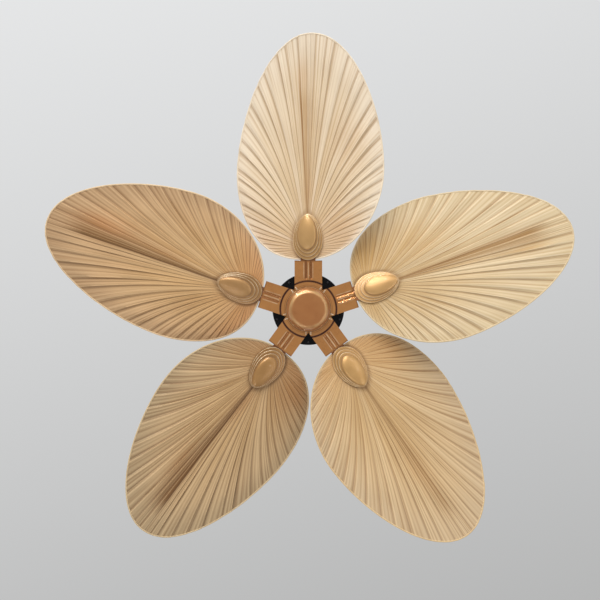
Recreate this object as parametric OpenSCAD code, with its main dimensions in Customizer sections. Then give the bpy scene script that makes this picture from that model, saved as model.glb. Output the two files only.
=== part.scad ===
// Ceiling fan with pleated palm-leaf blades, hung from the ceiling on a downrod.
// The origin is the centre of the bracket's top face, in the plane of the ceiling.
// +Z points up, so the whole fan hangs below z = 0. Lengths are in millimetres.
// Each blade is drawn along +X and then turned about Z to its own place.

/* [Overall] */
// Diameter of the circle that the leaf tips sweep
sweep_d = 1320; // [1280:10:1600]
// Length of the downrod tube
rod_len = 160; // [130:5:600]
// Number of blades
blade_n = 5; // [3:1:5]
// Angle of each blade about its own length
pitch = 13; // [8:0.5:16]

/* [Hanger bracket] */
// Thickness of the pressed steel
bracket_t = 2.5; // [2:0.5:3.5]
// Width of the rim around the ball's seat
seat_rim = 6; // [4:0.5:10]
// Distance between the two outlet-box slots
slot_pitch = 88.9; // [84:0.1:96]
// Width of a slot
slot_w = 5.5; // [4.5:0.1:6.5]
// Length of a slot from end to end
slot_len = 12; // [8:0.5:13]
// Distance from the ceiling to the centre of the ball
ball_drop = 40; // [36:1:48]
// Width of the ears that carry the canopy
ear_w = 30; // [20:1:36]
// Height of the ears
ear_h = 18; // [15:1:24]

/* [Canopy] */
// Outer diameter of the canopy
canopy_d = 136; // [134:1:180]
// Depth of the canopy below the ceiling
canopy_h = 72; // [68:1:100]
// Thickness of the canopy's wall
canopy_t = 1.5; // [1:0.1:2.5]
// Diameter of the hole that the downrod hangs through
canopy_hole_d = 52; // [48:1:60]

/* [Ball and downrod] */
// Diameter of the hanger ball
ball_d = 48; // [44:1:54]
// Outer diameter of the downrod
rod_d = 26.7; // [21.3:0.1:33]
// Wall of the downrod
rod_wall = 2; // [1.5:0.1:3]
// How far the downrod reaches above the centre of the ball
rod_up = 18; // [16:1:22]
// Diameter of the cross pin and of the clevis pin
pin_d = 6; // [5:0.5:8]

/* [Coupling] */
// Length of downrod that the coupling holds
grip_len = 32; // [28:1:45]
// Wall of the coupling around the downrod
yoke_wall = 5.5; // [4:0.5:8]
// Diameter of the coupling's flange
yoke_flange_d = 64; // [60:1:76]
// Diameter of the coupling cover at its foot
cover_d = 92; // [84:1:98]
// Height of the coupling cover's dome
cover_h = 50; // [48:1:60]

/* [Motor] */
// Outer diameter of the rotor can
can_d = 164; // [156:1:200]
// Height of the rotor can
can_h = 48; // [46:1:58]
// Wall of the rotor can
can_wall = 6; // [5:0.5:8]
// Diameter of the motor shaft
shaft_d = 17; // [15:0.5:20]
// Outer diameter of a bearing
bearing_d = 40; // [35:1:47]
// Width of a bearing
bearing_h = 12; // [11:0.5:14]
// Height of the stator's stack of plates
stack_h = 15; // [12:1:18]
// Gap between the stator and the rotor
air_gap = 0.5; // [0.3:0.1:1]
// Teeth on the stator
tooth_n = 12; // [8:1:12]

/* [Motor housing] */
// Gap between the rotor can and the housing around it
housing_gap = 2; // [1.5:0.1:4]
// Thickness of the housing
housing_t = 1.6; // [1:0.1:2.5]
// Height of the housing's rounded shoulder
shoulder_h = 26; // [24:1:30]

/* [Rotor flange] */
// How far the flange stands out past the rotor can
flange_lip = 4.4; // [3:0.1:8]
// Thickness of the flange
flange_t = 6; // [5:0.5:9]

/* [Blade arm] */
// Width of an arm
bar_w = 66; // [54:1:72]
// Thickness of an arm
bar_t = 12; // [11:0.5:16]
// Distance from the fan's axis to the end of the bar
bar_end = 116.5; // [112:0.5:150]
// Gap between the inner ends of neighbouring arms
seam = 1; // [0.5:0.1:3]
// Inner radius of the arms
arm_in_r = 33.5; // [33:0.5:35]
// Thickness of an arm under the dome
pad_t = 5; // [4:0.5:6]
// Radius of the ring groove across the arms
groove_r = 66; // [60:0.5:70]
// Width of the ring groove
groove_w = 2.4; // [1.5:0.1:4]
// Distance of each flute from the middle of the arm
flute_y = 5.8; // [5:0.1:9]
// Width of a flute
flute_w = 7; // [4:0.5:9]
// Depth of a flute
flute_depth = 2.5; // [1:0.5:4]
// Thickness of the paddle under the leaf
paddle_t = 4; // [3:0.5:5]
// Width of the neck between the bar and the paddle
neck_w = 36; // [24:1:36]

/* [Palm leaf] */
// Greatest width of a leaf, with its binding
leaf_w = 364; // [280:2:400]
// Where along its length the leaf is widest
leaf_widest = 0.402; // [0.34:0.002:0.5]
// Thickness of a leaf
leaf_t = 1.6; // [1.2:0.1:3]
// Pleats around a leaf
leaf_pleats = 56; // [24:2:60]
// Height of a pleat above or below the middle of the leaf
pleat_h = 4; // [2:0.5:6]
// How far the two long edges stand above the midrib
leaf_rise = 9; // [0:1:20]
// How far the tip droops
leaf_sag = 12; // [0:1:25]
// Turn of a leaf within its own plane
leaf_turn = 1.5; // [0:0.5:3]
// Width of the binding around the edge
binding_w = 4; // [3:0.5:7]
// How far the binding stands proud of the leaf on each face
binding_proud = 0.8; // [0.5:0.1:1.5]

/* [Leaf clamp] */
// Length of the medallion under the leaf's root
medallion_len = 111; // [100:1:125]
// Width of the medallion
medallion_w = 72; // [60:1:76]
// Height of the medallion
medallion_h = 20; // [18:0.5:26]
// Steps around the medallion
medallion_steps = 3; // [1:1:3]
// Depth of one step
step_h = 2.6; // [2:0.1:3]
// Width of a step at the end by the hub
step_hub = 8; // [4:0.5:9]
// Width of a step at the sides
step_side = 4.6; // [2:0.1:5]
// Width of a step at the tip
step_tip = 1.2; // [0.5:0.1:3]
// Thickness of the backing plate above the leaf
backing_t = 2; // [1.5:0.5:3]
// Diameter of a leaf screw
leaf_screw_d = 4; // [3:0.5:5]

/* [Centre dome] */
// Diameter of the dome's lip
dome_lip_d = 106; // [102:1:116]
// Diameter of the dome's wall
dome_d = 98; // [95:1:100]
// Diameter of the dome's flat face
dome_face_d = 72; // [50:1:80]
// Height of the dome below the arms
dome_h = 28; // [20:1:40]
// Thickness of the dome
dome_t = 2; // [1.5:0.1:2.5]

/* [Hidden] */
$fn = 64;

// colours
gold = [0.69, 0.48, 0.28];
bright_gold = [0.78, 0.62, 0.42];
gloss_black = [0.05, 0.05, 0.06];
zinc = [0.72, 0.73, 0.74];
steel = [0.55, 0.56, 0.58];
copper = [0.72, 0.40, 0.22];
palm = [0.86, 0.74, 0.55];
pale_palm = [0.92, 0.84, 0.69];

// clearances
fit = 0.05;         // radial clearance of a pin, shaft or thread in its hole
ease = 0.85;        // radial clearance of the downrod in the coupling cover
tiny = 0.01;        // overlap that keeps a cut from ending on a face
far = 400;          // longer than anything that is cut

// radii
ball_r = ball_d / 2;
rod_r = rod_d / 2;
rod_in_r = rod_r - rod_wall;
pin_r = pin_d / 2;
canopy_r = canopy_d / 2;
shaft_r = shaft_d / 2;
can_r = can_d / 2;
can_in_r = can_r - can_wall;
flange_r = can_r + flange_lip;
housing_r = can_r + housing_gap + housing_t;
bearing_r = bearing_d / 2;
seat_wall = 5;      // wall around a bearing
bearing_lip = 6;    // width of the lip that a bearing rests on

// heights, from the ceiling down
ball_z = -ball_drop;
seat_drop = 10;     // the seat plate's top lies this far below the ball's centre
seat_top = ball_z - seat_drop;
seat_low = seat_top - bracket_t;
rod_top = ball_z + rod_up;
rod_low = rod_top - rod_len;
web_t = 6;          // web between the downrod and the coupling's flange
yoke_flange_t = 4;
yoke_flange_top = rod_low - web_t;
housing_top = yoke_flange_top - yoke_flange_t;
hub_h = 14;         // hub of the coupling, below its flange
hub_r = shaft_r + 6.5;
can_top = housing_top - hub_h - 4;
can_top_t = 5;
can_low = can_top - can_h;
flange_low = can_low - flange_t;
arm_low = flange_low - bar_t;
clamp_drop = 4;     // the leaf's underside lies this far below the flange
clamp_z = flange_low - clamp_drop;
stack_mid = (can_top - can_top_t + can_low) / 2;
stack_low = stack_mid - stack_h / 2;
coil_over = 6;      // height of a coil past the stack
dome_low = arm_low - dome_h;

// bracket and canopy
leg_gap = 68;       // between the bracket's legs
leg_x = leg_gap / 2;
ear_clear = 0.6;
canopy_in_r = canopy_r - canopy_t;
ear_x = sqrt(pow(canopy_in_r - ear_clear, 2) - pow(ear_w / 2, 2));
ear_screw_z = -11;
canopy_screw_r = 2;
canopy_top = -0.8;
canopy_wall_h = 20; // straight part of the canopy's wall
canopy_foot_r = 36; // where the curve of the canopy ends
groove_depth = 4;   // groove in the ball
bracket_d = 2 * (sqrt(pow(ball_r, 2) - pow(seat_drop, 2)) + seat_rim);
tab_w = 4.8;        // tab of the seat, in the ball's groove
tab_y = ball_r - groove_depth - 1;
swing = 10;         // how far the downrod swings to each side
rod_reach = (canopy_h - ball_drop) * tan(swing) + rod_r / cos(swing);
trim_in_r = rod_reach + 1.8;
trim_h = 3;

// pins and set screws
cross_pin_z = ball_z + 10;
cross_pin_len = 36;
ball_screw_z = ball_z - 4;
ball_screw_r = 2.5;
yoke_r = rod_r + fit * 2 + yoke_wall;
clevis_z = rod_low + 15;
clevis_len = 2 * yoke_r + 10;
cotter_y = clevis_len / 2 - 2.6;
cotter_r = 1;
set_screw_z = rod_low + 7;
set_screw_r = 2.5;
shaft_bore_r = 5;
lead_r = 1.3;
lead_x = 5;         // leads pass beside both pins here
lead_in_x = 1.9;    // and lie this close together in the shaft
lead_low = stack_mid + 8;
plug_h = 4;         // part of the lead connector inside the downrod

// housing screws and capacitor
housing_screw_r = 2;
housing_screw_at = yoke_flange_d / 2 - 6;
capacitor_size = [24, 32, 12];
capacitor_x = hub_r + 5;

// motor
shaft_top = rod_low - 2;
shaft_low = flange_low + 1;
circlip_t = 1.4;
cage_r = can_in_r - fit;
stator_r = can_in_r - 14.5;
stator_hub_r = shaft_r + 15.5;
tooth_w = 10;
tooth_tip = 6;
slot_mouth = 3;
coil_w = 2;         // thickness of a coil beside its tooth
coil_in_r = stator_hub_r + 4;
coil_out_r = stator_r - tooth_tip - 3;

// arms and their screws
half_turn = 180 / blade_n;
recess_r = 50;      // the arms are thinner inside this radius, under the dome
pad_low = flange_low - pad_t;
flute_from = groove_r + groove_w + 5.5;
arm_screw_r = 2.5;
arm_screw_at = arm_in_r + 5;
arm_screw_turn = half_turn * 0.45;
shell_screw_r = 1.5;
shell_screw_at = can_r - can_wall / 2;

// leaf and clamp, in the pitched frame whose z = 0 is the leaf's underside
leaf_root = bar_end + 1.5;
leaf_tip = sweep_d / 2;
leaf_len = leaf_tip - leaf_root;
widest_x = leaf_root + leaf_widest * leaf_len;
focus_x = leaf_root + 67;   // the pleats run out from here
form_from = 48;             // the leaf is flat this far from its midrib and its focus
ray_n = 2 * leaf_pleats;
medallion_gap = 1;
medallion_belly = 0.405;    // where along its length the medallion is widest
medallion_widest = leaf_root + medallion_belly * medallion_len;
medallion_tip = leaf_root + medallion_len;
medallion_sides = 36;
medallion_rim_h = 5;
tread_drop = 0.6;           // a step's tread falls this much, so that it isn't quite flat
clamp_inset = 7.5;          // paddle inside the medallion's outline
leaf_screw_r = leaf_screw_d / 2;
leaf_screw_depth = 12;
leaf_screw_spots = [[leaf_root + 34, 0], [leaf_root + 78, 12], [leaf_root + 78, -12]];
leaf_top = leaf_t + backing_t;

// dome and its plate
dome_r = dome_d / 2;
lip_t = 2;
skirt_r = 47.2;
skirt_in_r = 45.4;
skirt_top = pad_low - 0.5;
cap_plate_r = 40;
cap_tab_r = skirt_in_r - 0.5;
cap_plate_top = arm_low + 2;
cap_plate_t = 2;
lug_in_r = 43.2;
lug_t = 2;
lug_gap = 0.3;
lug_turn = 24;
post_r = 4;
post_at = 29;
post_screw_r = 2;

// ---------- shared shapes ----------

// Ring about Z between two radii and two heights
module tube(r_out, r_in, low, high) {
    translate([0, 0, low])
        difference() {
            cylinder(h = high - low, r = r_out);
            translate([0, 0, -1]) cylinder(h = high - low + 2, r = r_in);
        }
}

// Round bar about Z between two heights
module bar_z(r, low, high) {
    translate([0, 0, low]) cylinder(h = high - low, r = r);
}

// Round bar between two points
module bar_between(p, q, r) {
    d = q - p;
    translate(p)
        rotate([0, acos(d[2] / norm(d)), atan2(d[1], d[0])])
            cylinder(h = norm(d), r = r);
}

// Pan-head screw: the head stands on z = 0 and the shank points down
module screw(shank_r, shank_len) {
    head_r = shank_r * 1.75;
    head_h = shank_r * 1.2;
    slot = shank_r * 0.45;
    difference() {
        union() {
            bar_z(shank_r, -shank_len, tiny);
            bar_z(head_r, 0, head_h * 0.6);
            translate([0, 0, head_h * 0.6])
                cylinder(h = head_h * 0.4, r1 = head_r, r2 = head_r * 0.7);
        }
        for (turn = [0, 90])
            rotate([0, 0, turn])
                translate([-head_r * 0.55, -slot / 2, head_h * 0.5])
                    cube([head_r * 1.1, slot, head_h]);
    }
}

// Thin shell about Z: a quarter ellipse from a straight foot in to a ring on top
// foot: [radius, height]; span: [how far in, how far up]; wall thickness t
module quarter_shell(foot, span, t, inner_r, up) {
    steps = 18;
    outer = [for (i = [0:steps]) let (a = 90 * i / steps)
        [foot[0] - span[0] + span[0] * cos(a), foot[1] + up * span[1] * sin(a)]];
    inner = [for (i = [steps:-1:0]) let (a = 90 * i / steps)
        [foot[0] - span[0] + (span[0] - t) * cos(a), foot[1] + up * (span[1] - t) * sin(a)]];
    rotate_extrude()
        polygon(concat(outer,
            [[inner_r, foot[1] + up * span[1]], [inner_r, foot[1] + up * (span[1] - t)]],
            inner));
}

// Sector about Z, centred on +X, between two radii and two heights
module sector(r_out, r_in, turn, low, high) {
    translate([0, 0, low])
        rotate([0, 0, -turn / 2])
            rotate_extrude(angle = turn)
                translate([r_in, 0]) square([r_out - r_in, high - low]);
}

// Turns a shape drawn along +X to blade k
module at_blade(k) {
    rotate([0, 0, 90 + (k - 1) * 2 * half_turn]) children();
}

module at_every_blade() {
    for (k = [1:blade_n]) at_blade(k) children();
}

// Moves a shape into the pitched frame of the leaf and its clamp
module pitched() {
    translate([0, 0, clamp_z]) rotate([-pitch, 0, 0]) children();
}

module at_leaf_screws() {
    for (spot = leaf_screw_spots) translate([spot[0], spot[1], 0]) children();
}

// Egg outline: round towards the hub, narrower at the tip
function egg(from, widest, to, half_w, sides) = [
    for (i = [0:sides - 1]) let (a = 360 * i / sides)
        cos(a) < 0
            ? [widest + (widest - from) * cos(a), half_w * sin(a)]
            : [widest + (to - widest) * cos(a), half_w * sign(sin(a)) * pow(abs(sin(a)), 1.22)]
];

// ---------- ceiling side ----------

module hanger_bracket() {
    plate_len = 2 * (leg_x + bracket_t);
    color(zinc) {
        difference() {
            union() {
                translate([-plate_len / 2, -bracket_d / 2, -bracket_t])
                    cube([plate_len, bracket_d, bracket_t]);
                translate([-ear_x, -ear_w / 2, -bracket_t]) cube([2 * ear_x, ear_w, bracket_t]);
                translate([-plate_len / 2, -bracket_d / 2, seat_low])
                    cube([plate_len, bracket_d, bracket_t]);
                for (side = [0, 1]) mirror([side, 0, 0]) {
                    translate([leg_x, -bracket_d / 2, seat_low])
                        cube([bracket_t, bracket_d, -seat_low]);
                    translate([ear_x - bracket_t, -ear_w / 2, -ear_h])
                        cube([bracket_t, ear_w, ear_h]);
                }
                // tab that keeps the ball from turning
                translate([-tab_w / 2, tab_y, seat_low])
                    cube([tab_w, ball_r - tab_y + 1, 2 * bracket_t]);
            }
            for (side = [0, 1]) mirror([side, 0, 0]) {
                outlet_slot();
                translate([0, 0, ear_screw_z])
                    rotate([0, 90, 0]) cylinder(h = far, r = canopy_screw_r + fit);
            }
            difference() {
                translate([0, 0, ball_z]) sphere(r = ball_r + fit, $fn = 96);
                translate([-tab_w / 2, tab_y, seat_low - 1]) cube([tab_w, far, far]);
            }
            // the ball goes in from this side
            translate([-rod_r - 1.65, -far, seat_low - 1])
                cube([2 * rod_r + 3.3, far, bracket_t + 2]);
            // window for the supply leads
            translate([-30, -10, -bracket_t - 1]) cube([18, 20, bracket_t + 2]);
        }
    }
}

// One slot for an outlet-box screw
module outlet_slot() {
    run = (slot_len - slot_w) / 2;
    for (end = [-run, run])
        translate([slot_pitch / 2 + end, 0, -bracket_t - 1])
            cylinder(h = bracket_t + 2, r = slot_w / 2);
    translate([slot_pitch / 2 - run, -slot_w / 2, -bracket_t - 1])
        cube([2 * run, slot_w, bracket_t + 2]);
}

module canopy() {
    color(gold)
        difference() {
            union() {
                tube(canopy_r, canopy_in_r, -canopy_wall_h, canopy_top);
                quarter_shell([canopy_r, -canopy_wall_h],
                    [canopy_r - canopy_foot_r, canopy_h - canopy_wall_h],
                    canopy_t, canopy_hole_d / 2, -1);
            }
            translate([-far / 2, 0, ear_screw_z])
                rotate([0, 90, 0]) cylinder(h = far, r = canopy_screw_r + 0.2);
        }
}

module canopy_screws() {
    color(gold)
        for (side = [0, 1]) mirror([side, 0, 0])
            translate([canopy_r, 0, ear_screw_z]) rotate([0, 90, 0]) screw(canopy_screw_r, 10);
}

module canopy_trim_ring() {
    color(gold)
        difference() {
            tube(canopy_foot_r - 1.5, trim_in_r, -canopy_h - trim_h, -canopy_h);
            rotate_extrude()
                translate([canopy_foot_r - 1.5, -canopy_h - trim_h]) rotate(45) square(2, center = true);
        }
}

// ---------- ball, downrod and coupling ----------

module hanger_ball() {
    color(steel)
        difference() {
            translate([0, 0, ball_z]) sphere(r = ball_r, $fn = 96);
            translate([0, 0, -far / 2]) cylinder(h = far, r = rod_r + fit);
            // the cross pin drops in from above
            translate([-cross_pin_len / 2 - 0.5, -pin_r - fit, cross_pin_z])
                cube([cross_pin_len + 1, pin_d + 2 * fit, far]);
            translate([-cross_pin_len / 2 - 0.5, 0, cross_pin_z])
                rotate([0, 90, 0]) cylinder(h = cross_pin_len + 1, r = pin_r + fit);
            // groove for the seat's tab
            translate([-tab_w / 2 - 0.4, 0, ball_z])
                intersection() {
                    rotate([0, 90, 0]) difference() {
                        cylinder(h = tab_w + 0.8, r = ball_r + 1);
                        translate([0, 0, -1])
                            cylinder(h = tab_w + 2.8, r = ball_r - groove_depth);
                    }
                    translate([-1, rod_r, -far / 2]) cube([far, far, far]);
                }
            translate([0, -rod_r, ball_screw_z])
                rotate([90, 0, 0]) cylinder(h = far, r = ball_screw_r + fit);
        }
}

module ball_cross_pin() {
    color(steel)
        translate([-cross_pin_len / 2, 0, cross_pin_z])
            rotate([0, 90, 0]) cylinder(h = cross_pin_len, r = pin_r);
}

module ball_set_screw() {
    reach = sqrt(pow(ball_r, 2) - pow(ball_screw_z - ball_z, 2)) - 1;
    color(steel)
        difference() {
            translate([0, -rod_r, ball_screw_z])
                rotate([90, 0, 0]) cylinder(h = reach - rod_r, r = ball_screw_r);
            translate([0, -reach + 2, ball_screw_z])
                rotate([90, 0, 0]) cylinder(h = 4, r = 1.4, $fn = 6);
        }
}

module downrod() {
    color(gold)
        difference() {
            tube(rod_r, rod_in_r, rod_low, rod_top);
            translate([-far / 2, 0, cross_pin_z])
                rotate([0, 90, 0]) cylinder(h = far, r = pin_r + fit);
            translate([0, far / 2, clevis_z])
                rotate([90, 0, 0]) cylinder(h = far, r = pin_r + fit);
        }
}

// Plug on the motor's leads, pushed into the top of the downrod
module lead_connector() {
    color([0.92, 0.9, 0.84]) {
        bar_z(rod_in_r - fit, rod_top - plug_h, rod_top);
        translate([-7, -6, rod_top - tiny]) cube([14, 12, 9]);
        for (x = [-4, 0, 4]) translate([x, 0, rod_top + 8]) bar_z(1.2, 0, 2.5);
    }
}

// Three leads pass beside both pins, then draw together into the shaft's bore
module supply_leads() {
    top = rod_top - plug_h;
    colours = [[0.75, 0.1, 0.1], [0.1, 0.2, 0.7], [0.9, 0.9, 0.9]];
    for (i = [0:2]) color(colours[i]) {
        turn = [i == 0 ? 1 : -1, i == 2 ? -1 : 1];
        bend = [turn[0] * lead_x, turn[1] * lead_x, clevis_z - pin_r - 1];
        mouth = [turn[0] * lead_in_x, turn[1] * lead_in_x, shaft_top + 0.5];
        lap = (bend - mouth) * 0.03;
        bar_between([bend[0], bend[1], top], bend - [0, 0, 0.6], lead_r);
        bar_between(bend + lap, mouth - lap, lead_r);
        bar_between(mouth + [0, 0, 0.6], [mouth[0], mouth[1], lead_low], lead_r);
    }
}

// Cup for the downrod on top, flange for the housing, hub for the motor shaft
module yoke() {
    color(zinc)
        difference() {
            union() {
                bar_z(yoke_r, housing_top + 1, rod_low + grip_len);
                bar_z(yoke_flange_d / 2, housing_top, yoke_flange_top);
                bar_z(hub_r, housing_top - hub_h, housing_top + 1);
            }
            bar_z(rod_r + 2 * fit, rod_low, 0);
            bar_z(shaft_r + fit, housing_top - hub_h - 1, rod_low + 1);
            translate([0, far / 2, clevis_z])
                rotate([90, 0, 0]) cylinder(h = far, r = pin_r + fit);
            translate([-far / 2, 0, set_screw_z])
                rotate([0, 90, 0]) cylinder(h = far, r = set_screw_r + fit);
            for (turn = [60, 180, 300])
                rotate([0, 0, turn])
                    translate([housing_screw_at, 0, 0])
                        bar_z(housing_screw_r + fit, housing_top - 1, yoke_flange_top + 1);
        }
}

module yoke_clevis_pin() {
    color(steel)
        difference() {
            union() {
                translate([0, clevis_len / 2, clevis_z])
                    rotate([90, 0, 0]) cylinder(h = clevis_len, r = pin_r);
                translate([0, -yoke_r - 0.3, clevis_z])
                    rotate([90, 0, 0]) cylinder(h = 2.5, r = pin_r + 2);
            }
            translate([-far / 2, cotter_y, clevis_z])
                rotate([0, 90, 0]) cylinder(h = far, r = cotter_r + fit);
        }
}

// Spring pin: a straight leg through the clevis pin, with a ring to pull it by
module cotter_pin() {
    ring_r = 5;
    color(steel)
        translate([0, cotter_y, clevis_z]) {
            translate([-8, 0, 0]) rotate([0, 90, 0]) cylinder(h = 16, r = cotter_r);
            translate([7 + ring_r, 0, 0]) tube(ring_r, ring_r - 1.6, -0.8, 0.8);
        }
}

module yoke_set_screws() {
    color(steel)
        for (side = [0, 1]) mirror([side, 0, 0])
            difference() {
                translate([rod_r, 0, set_screw_z])
                    rotate([0, 90, 0]) cylinder(h = yoke_wall + 4, r = set_screw_r);
                translate([rod_r + yoke_wall + 1.5, 0, set_screw_z])
                    rotate([0, 90, 0]) cylinder(h = 4, r = 1.4, $fn = 6);
            }
}

module coupling_cover() {
    collar_r = rod_r + ease;
    wall = 1.6;
    color(gold) {
        quarter_shell([cover_d / 2, housing_top], [cover_d / 2 - collar_r - wall, cover_h],
            wall, collar_r, 1);
        tube(collar_r + wall, collar_r, housing_top + cover_h - tiny, housing_top + cover_h + 5);
    }
}

// ---------- motor ----------

module upper_housing() {
    skirt_low = can_low + 4;
    skirt_top_z = housing_top - shoulder_h;
    shoulder_w = housing_r - cover_d / 2 - 4;
    color(gold)
        difference() {
            union() {
                tube(housing_r, housing_r - housing_t, skirt_low, skirt_top_z + tiny);
                tube(housing_r, housing_r - housing_t - 0.8, skirt_low, skirt_low + 3);
                quarter_shell([housing_r, skirt_top_z], [shoulder_w, shoulder_h],
                    housing_t, hub_r + 0.2, 1);
            }
            for (turn = [60, 180, 300])
                rotate([0, 0, turn])
                    translate([housing_screw_at, 0, 0])
                        bar_z(housing_screw_r + fit, housing_top - 5, housing_top + 1);
        }
}

module housing_screws() {
    color(zinc)
        for (turn = [60, 180, 300])
            rotate([0, 0, turn])
                translate([housing_screw_at, 0, yoke_flange_top]) screw(housing_screw_r, 9);
}

module capacitor() {
    color([0.16, 0.16, 0.18])
        translate([capacitor_x, -capacitor_size[1] / 2,
                housing_top - housing_t - capacitor_size[2]])
            cube(capacitor_size);
}

module motor_shaft() {
    side_hole_z = stack_mid + stack_h / 2 + 3;
    color(steel)
        difference() {
            bar_z(shaft_r, shaft_low, shaft_top);
            bar_z(shaft_bore_r, stack_mid - 4, shaft_top + 1);
            translate([0, 0, side_hole_z]) rotate([0, 90, 0]) cylinder(h = far, r = 3);
            tube(shaft_r + 1, shaft_r - 1, can_low - circlip_t - 0.1, can_low);
        }
}

// Ring that holds the lower bearing up on the shaft
module shaft_circlip() {
    color(steel)
        difference() {
            tube(shaft_r + 3.5, shaft_r - 1 + fit, can_low - circlip_t, can_low);
            translate([0, -2, can_low - 5]) cube([far, 4, 10]);
        }
}

module stator_core() {
    color(steel)
        translate([0, 0, stack_low]) linear_extrude(stack_h) difference() {
            union() {
                circle(r = stator_hub_r);
                for (i = [0:tooth_n - 1])
                    rotate(360 * i / tooth_n)
                        translate([stator_hub_r - 2, -tooth_w / 2])
                            square([stator_r - stator_hub_r, tooth_w]);
                difference() {
                    circle(r = stator_r);
                    circle(r = stator_r - tooth_tip);
                    for (i = [0:tooth_n - 1])
                        rotate(360 * (i + 0.5) / tooth_n)
                            translate([0, -slot_mouth / 2]) square([far, slot_mouth]);
                }
            }
            circle(r = shaft_r + fit);
        }
}

module stator_windings() {
    coil_h = stack_h + 2 * coil_over;
    color(copper)
        for (i = [0:tooth_n - 1])
            rotate([0, 0, 360 * i / tooth_n])
                translate([coil_in_r, 0, stack_mid])
                    difference() {
                        translate([0, -tooth_w / 2 - coil_w, -coil_h / 2])
                            cube([coil_out_r - coil_in_r, tooth_w + 2 * coil_w, coil_h]);
                        translate([-1, -tooth_w / 2 - fit, -stack_h / 2 - fit])
                            cube([far, tooth_w + 2 * fit, stack_h + 2 * fit]);
                    }
}

module bearing(low) {
    color(zinc)
        difference() {
            tube(bearing_r, shaft_r + fit, low, low + bearing_h);
            for (z = [low - 1, low + bearing_h - 0.6])
                tube(bearing_r - 3, shaft_r + 3, z, z + 1.6);
        }
}

module upper_bearing() { bearing(can_top - can_top_t - bearing_h); }

module lower_bearing() { bearing(can_low); }

module rotor_can() {
    under = can_top - can_top_t;
    chamfer = 8;
    vent_n = 10;
    color(gloss_black)
        difference() {
            union() {
                rotate_extrude() polygon([
                    [can_in_r, can_low], [can_r, can_low], [can_r, can_top - chamfer],
                    [can_r - chamfer, can_top], [bearing_r - bearing_lip, can_top],
                    [bearing_r - bearing_lip, under], [can_in_r, under]
                ]);
                tube(bearing_r + seat_wall, bearing_r + fit, under - bearing_h, under + tiny);
            }
            for (i = [0:vent_n - 1])
                rotate([0, 0, 360 * i / vent_n])
                    translate([bearing_r + 16, -3, under - 1]) cube([24, 6, can_top_t + 2]);
            at_shell_screws() bar_z(shell_screw_r + fit, -1, 10);
        }
}

// Plates and end rings of the squirrel cage, pressed into the can
module rotor_cage() {
    end_ring = 3;
    cage_in_r = stator_r + air_gap;
    color(steel) {
        tube(cage_r, cage_in_r, stack_low, stack_low + stack_h);
        tube(cage_r - 2, cage_in_r + 2, stack_low - end_ring, stack_low + stack_h + end_ring);
    }
}

// Places a shape at the foot of the can's wall, half way between the arms
module at_shell_screws() {
    at_every_blade()
        rotate([0, 0, half_turn]) translate([shell_screw_at, 0, can_low]) children();
}

module at_arm_screws() {
    for (side = [-1, 1])
        rotate([0, 0, side * arm_screw_turn]) translate([arm_screw_at, 0, 0]) children();
}

module at_posts() {
    for (turn = [90, 210, 330]) rotate([0, 0, turn]) translate([post_at, 0, 0]) children();
}

// The rotor's lower shell: it closes the can and carries the arms
module rotor_flange() {
    edge = 1.5;
    color(gloss_black)
        difference() {
            union() {
                rotate_extrude() polygon([
                    [0, flange_low], [flange_r - edge, flange_low], [flange_r, flange_low + edge],
                    [flange_r, can_low], [0, can_low]
                ]);
                tube(bearing_r + seat_wall, bearing_r + fit, can_low - tiny, can_low + bearing_h);
            }
            bar_z(bearing_r - bearing_lip, flange_low - 1, can_low + 1);
            at_shell_screws() bar_z(shell_screw_r + 0.2, -far, 1);
            at_every_blade() at_arm_screws() bar_z(arm_screw_r + fit, flange_low - 1, can_low + 1);
            at_posts() bar_z(post_screw_r + fit, flange_low - 1, can_low + 1);
        }
}

module shell_screws() {
    color(steel)
        at_shell_screws()
            translate([0, 0, -flange_t]) rotate([180, 0, 0]) screw(shell_screw_r, flange_t + 9);
}

// ---------- blades ----------

// Bar that narrows to a wedge where it meets its neighbours
module arm_outline() {
    apex = seam / 2 / sin(half_turn);
    difference() {
        intersection() {
            translate([0, -bar_w / 2]) square([bar_end, bar_w]);
            polygon([
                [apex, 0],
                [apex + far * cos(half_turn), -far * sin(half_turn)],
                [apex + far * cos(half_turn), far * sin(half_turn)]
            ]);
        }
        circle(r = arm_in_r);
    }
}

module paddle_outline() {
    translate([bar_end - 3, -neck_w / 2]) square([30, neck_w]);
    polygon(egg(leaf_root + clamp_inset, medallion_widest, medallion_tip - clamp_inset,
        medallion_w / 2 - clamp_inset, medallion_sides));
}

module flute(y) {
    translate([flute_from, y, arm_low - 1])
        cylinder(h = flute_depth + 1, r = flute_w / 2);
    translate([flute_from, y - flute_w / 2, arm_low - 1])
        cube([far, flute_w, flute_depth + 1]);
}

module blade_arm(k) {
    color(gold)
        at_blade(k)
            difference() {
                union() {
                    difference() {
                        translate([0, 0, arm_low]) linear_extrude(bar_t) arm_outline();
                        bar_z(recess_r, arm_low - 1, pad_low);
                        tube(groove_r + groove_w, groove_r, arm_low - 1, arm_low + 4);
                        for (side = [-1, 1]) flute(side * flute_y);
                        at_arm_screws() bar_z(arm_screw_r + 0.2, arm_low - 1, flange_low + 1);
                    }
                    pitched()
                        translate([0, 0, -paddle_t]) linear_extrude(paddle_t) paddle_outline();
                }
                // the binding of the leaf's root crosses the neck here
                pitched() translate([bar_end + tiny, -bar_w, -binding_proud - 0.2])
                    cube([binding_w + 3, 2 * bar_w, far]);
                pitched() at_leaf_screws() bar_z(leaf_screw_r + 0.2, -paddle_t - 1, 1);
            }
}

module arm_screws() {
    color(zinc)
        at_every_blade() at_arm_screws()
            translate([0, 0, pad_low]) rotate([180, 0, 0]) screw(arm_screw_r, pad_t + flange_t - 1);
}

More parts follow.
